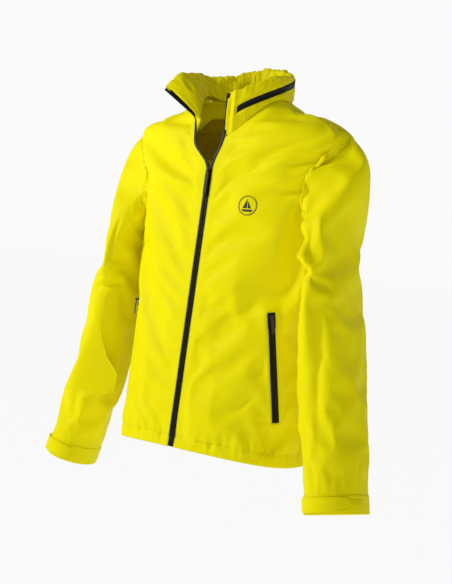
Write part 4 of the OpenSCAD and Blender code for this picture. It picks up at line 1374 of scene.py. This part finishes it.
def cuff_tab(side, name):
    outer, _ = patch_grid(side, TAB_ROOT, TAB_ROOT - TAB_SWEEP, 4.6, 4, 0.16)
    inner, _ = patch_grid(side, TAB_ROOT, TAB_ROOT - TAB_SWEEP, 2.8, 4, 0.16)
    obj = solid_grid("cuff_strap_" + name, outer, inner)
    apply_modifier(obj, "BEVEL", width=0.5 * MM, segments=2, limit_method="ANGLE", angle_limit=0.9)
    finish(obj, "shell", "tab_" + name, ["cuff_tab_" + name])
    line, _ = patch_grid(side, TAB_ROOT, TAB_ROOT - TAB_SWEEP * 0.985, 4.65, 4, 0.16, shrink_by=2.2)
    edge = np.concatenate([line[0], line[-1][::-1]])
    centre = mirrored(sleeve_frame(np.array([(CUFF_T + 1) / 2]), side)[0][0], side)
    stitches("cuff_strap_stitching_" + name, [edge], [edge - centre], "tab_" + name)


def cuff_patches(side, name):
    for label, start, stop, lift, thick, body, node in (
            ("cuff_loop_pile_", TAB_ROOT - 60, TAB_ROOT - TAB_SWEEP - 25, 0.75, 0.5, SLEEVE_BODY[name],
             "cuff_loop_"),
            ("cuff_hook_pile_", TAB_ROOT - TAB_SWEEP * 0.6, TAB_ROOT - TAB_SWEEP * 0.88, 1.8, 0.65,
             "tab_" + name, "cuff_hook_")):
        outer, _ = patch_grid(side, start, stop, lift + thick, 8, 0)
        inner, _ = patch_grid(side, start, stop, lift, 8, 0)
        obj = solid_grid(label + name, outer, inner)
        finish(obj, "hook", body, [node + name])


for side_sign, side_name in ((1, "left"), (-1, "right")):
    cuff_band(side_sign, side_name)
    cuff_tab(side_sign, side_name)
    cuff_patches(side_sign, side_name)


# ---------------------------------------------------------------- topstitching and the chest print
def beside(line, gap):
    """The line moved sideways along the cloth."""
    _, face = on_cloth(line)
    side = unit(np.cross(np.gradient(line, axis=0), face))
    return on_cloth(line + side * gap, 0.15)


def topstitching():
    shell_lines = [beside(SEAMS[name], gap) for name, gap in (
        ("side_left", -3.4), ("side_right", 3.4), ("shoulder_left", 3.4), ("shoulder_right", -3.4),
        ("centre_back", 3.0), ("centre_back", -3.0))]
    # The hem's own row, all around above the casing, and a row beside each half of the front zip
    start = float(angle_at(TAPE_W + 1, HEM_Z))
    angle = np.linspace(start, 360 - start, 500)
    shell_lines.append(on_cloth(carried(body_pt(angle, hem_height(angle) + 21.5)), 0.15))
    for side, splay in ((1, LEFT_SPLAY), (-1, RIGHT_SPLAY)):
        z = np.linspace(HEM_Z + HEM_RISE + 4, NECK_FRONT_Z - 6, 400)
        edge = mirrored(body_pt(angle_at(edge_x(z, splay) + TAPE_W + 2.6, z), z), side)
        shell_lines.append(on_cloth(edge, 0.15))
    lines, faces = zip(*shell_lines)
    stitches("shell_topstitching", lines, faces, "shell")
    for side, name in ((1, "left"), (-1, "right")):
        hole, face = beside(SEAMS["armhole_" + name], 3.4 * side)
        obj = stitches("armhole_topstitching_" + name, [hole], [face])
        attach(obj, "shell")


topstitching()


def badge():
    """Plain round badge with a sailing boat, printed on the cloth."""
    centre = body_pt(23.5, -190.0)
    side = unit(body_pt(27.5, -190.0) - body_pt(19.5, -190.0))
    face = unit(np.cross(side, body_pt(23.5, -182.0) - body_pt(23.5, -198.0)))
    rise = np.cross(face, side)
    shapes = []
    turn = np.linspace(0, 2 * math.pi, 97)
    for radius, width in ((18.0, 0.8), (16.2, 0.4)):
        shapes.append(np.stack([np.stack([np.cos(turn), np.sin(turn)], -1) * r
                                for r in (radius, radius - width / 2, radius - width)]))
    v = np.linspace(0, 1, 12)[:, None]
    for left_low, right_low, left_top, right_top in (
            ((-9, -5), (-0.9, -5), (-0.9, 12), (-0.9, 12)), ((0.9, -5), (7, -5), (0.9, 8), (0.9, 8)),
            ((-7.5, -11), (7.5, -11), (-11, -7.2), (11, -7.2))):
        low = lerp(np.array(left_low, float), np.array(right_low, float), v)
        top = lerp(np.array(left_top, float), np.array(right_top, float), v)
        shapes.append(np.stack([lerp(low, top, s) for s in np.linspace(0, 1, 12)]))
    pts, faces, base = [], [], 0
    for grid in shapes:
        for lift in (0.45, 0.05):
            flat = centre + grid[..., :1] * side + grid[..., 1:] * rise + face * 40
            for p in flat.reshape(-1, 3):
                hit = surface_tree.ray_cast(Vector(p), Vector(-face))[0]
                pts.append(np.array(hit) + face * lift)
        index = np.arange(grid.shape[0] * grid.shape[1]).reshape(grid.shape[:2])
        n = index.size
        quads = [grid_faces(base + index), grid_faces(base + n + index, flip=True)]
        rim = np.concatenate([index[0], index[1:, -1], index[-1, ::-1][1:], index[::-1, 0][1:]]) + base
        quads.append(np.stack([rim[:-1], rim[:-1] + n, rim[1:] + n, rim[1:]], -1))
        faces += [list(q) for q in np.concatenate(quads)]
        base += 2 * n
    obj = new_object("chest_badge", np.array(pts), faces)
    bm = bmesh.new()
    bm.from_mesh(obj.data)
    bmesh.ops.remove_doubles(bm, verts=bm.verts, dist=1e-6)
    bmesh.ops.dissolve_degenerate(bm, dist=1e-7, edges=bm.edges)
    bmesh.ops.recalc_face_normals(bm, faces=bm.faces)
    bm.to_mesh(obj.data)
    bm.free()
    return finish(obj, "ink", "shell", ["chest_print"])


badge()


# ---------------------------------------------------------------- CAD pieces that stay
STAYING = {"hang_loop": "webbing"}
for node_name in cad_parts:
    obj = bpy.data.objects.get(node_name)
    look = STAYING.get(node_name)
    if "slider" in node_name or "puller" in node_name or node_name in ("main_zip_pin", "main_zip_box"):
        look = "hardware"
    if node_name.startswith("pocket_garage"):
        look = "tape"
    if obj and look:
        obj.data.materials.clear()
        obj.data.materials.append(MATERIALS[look])
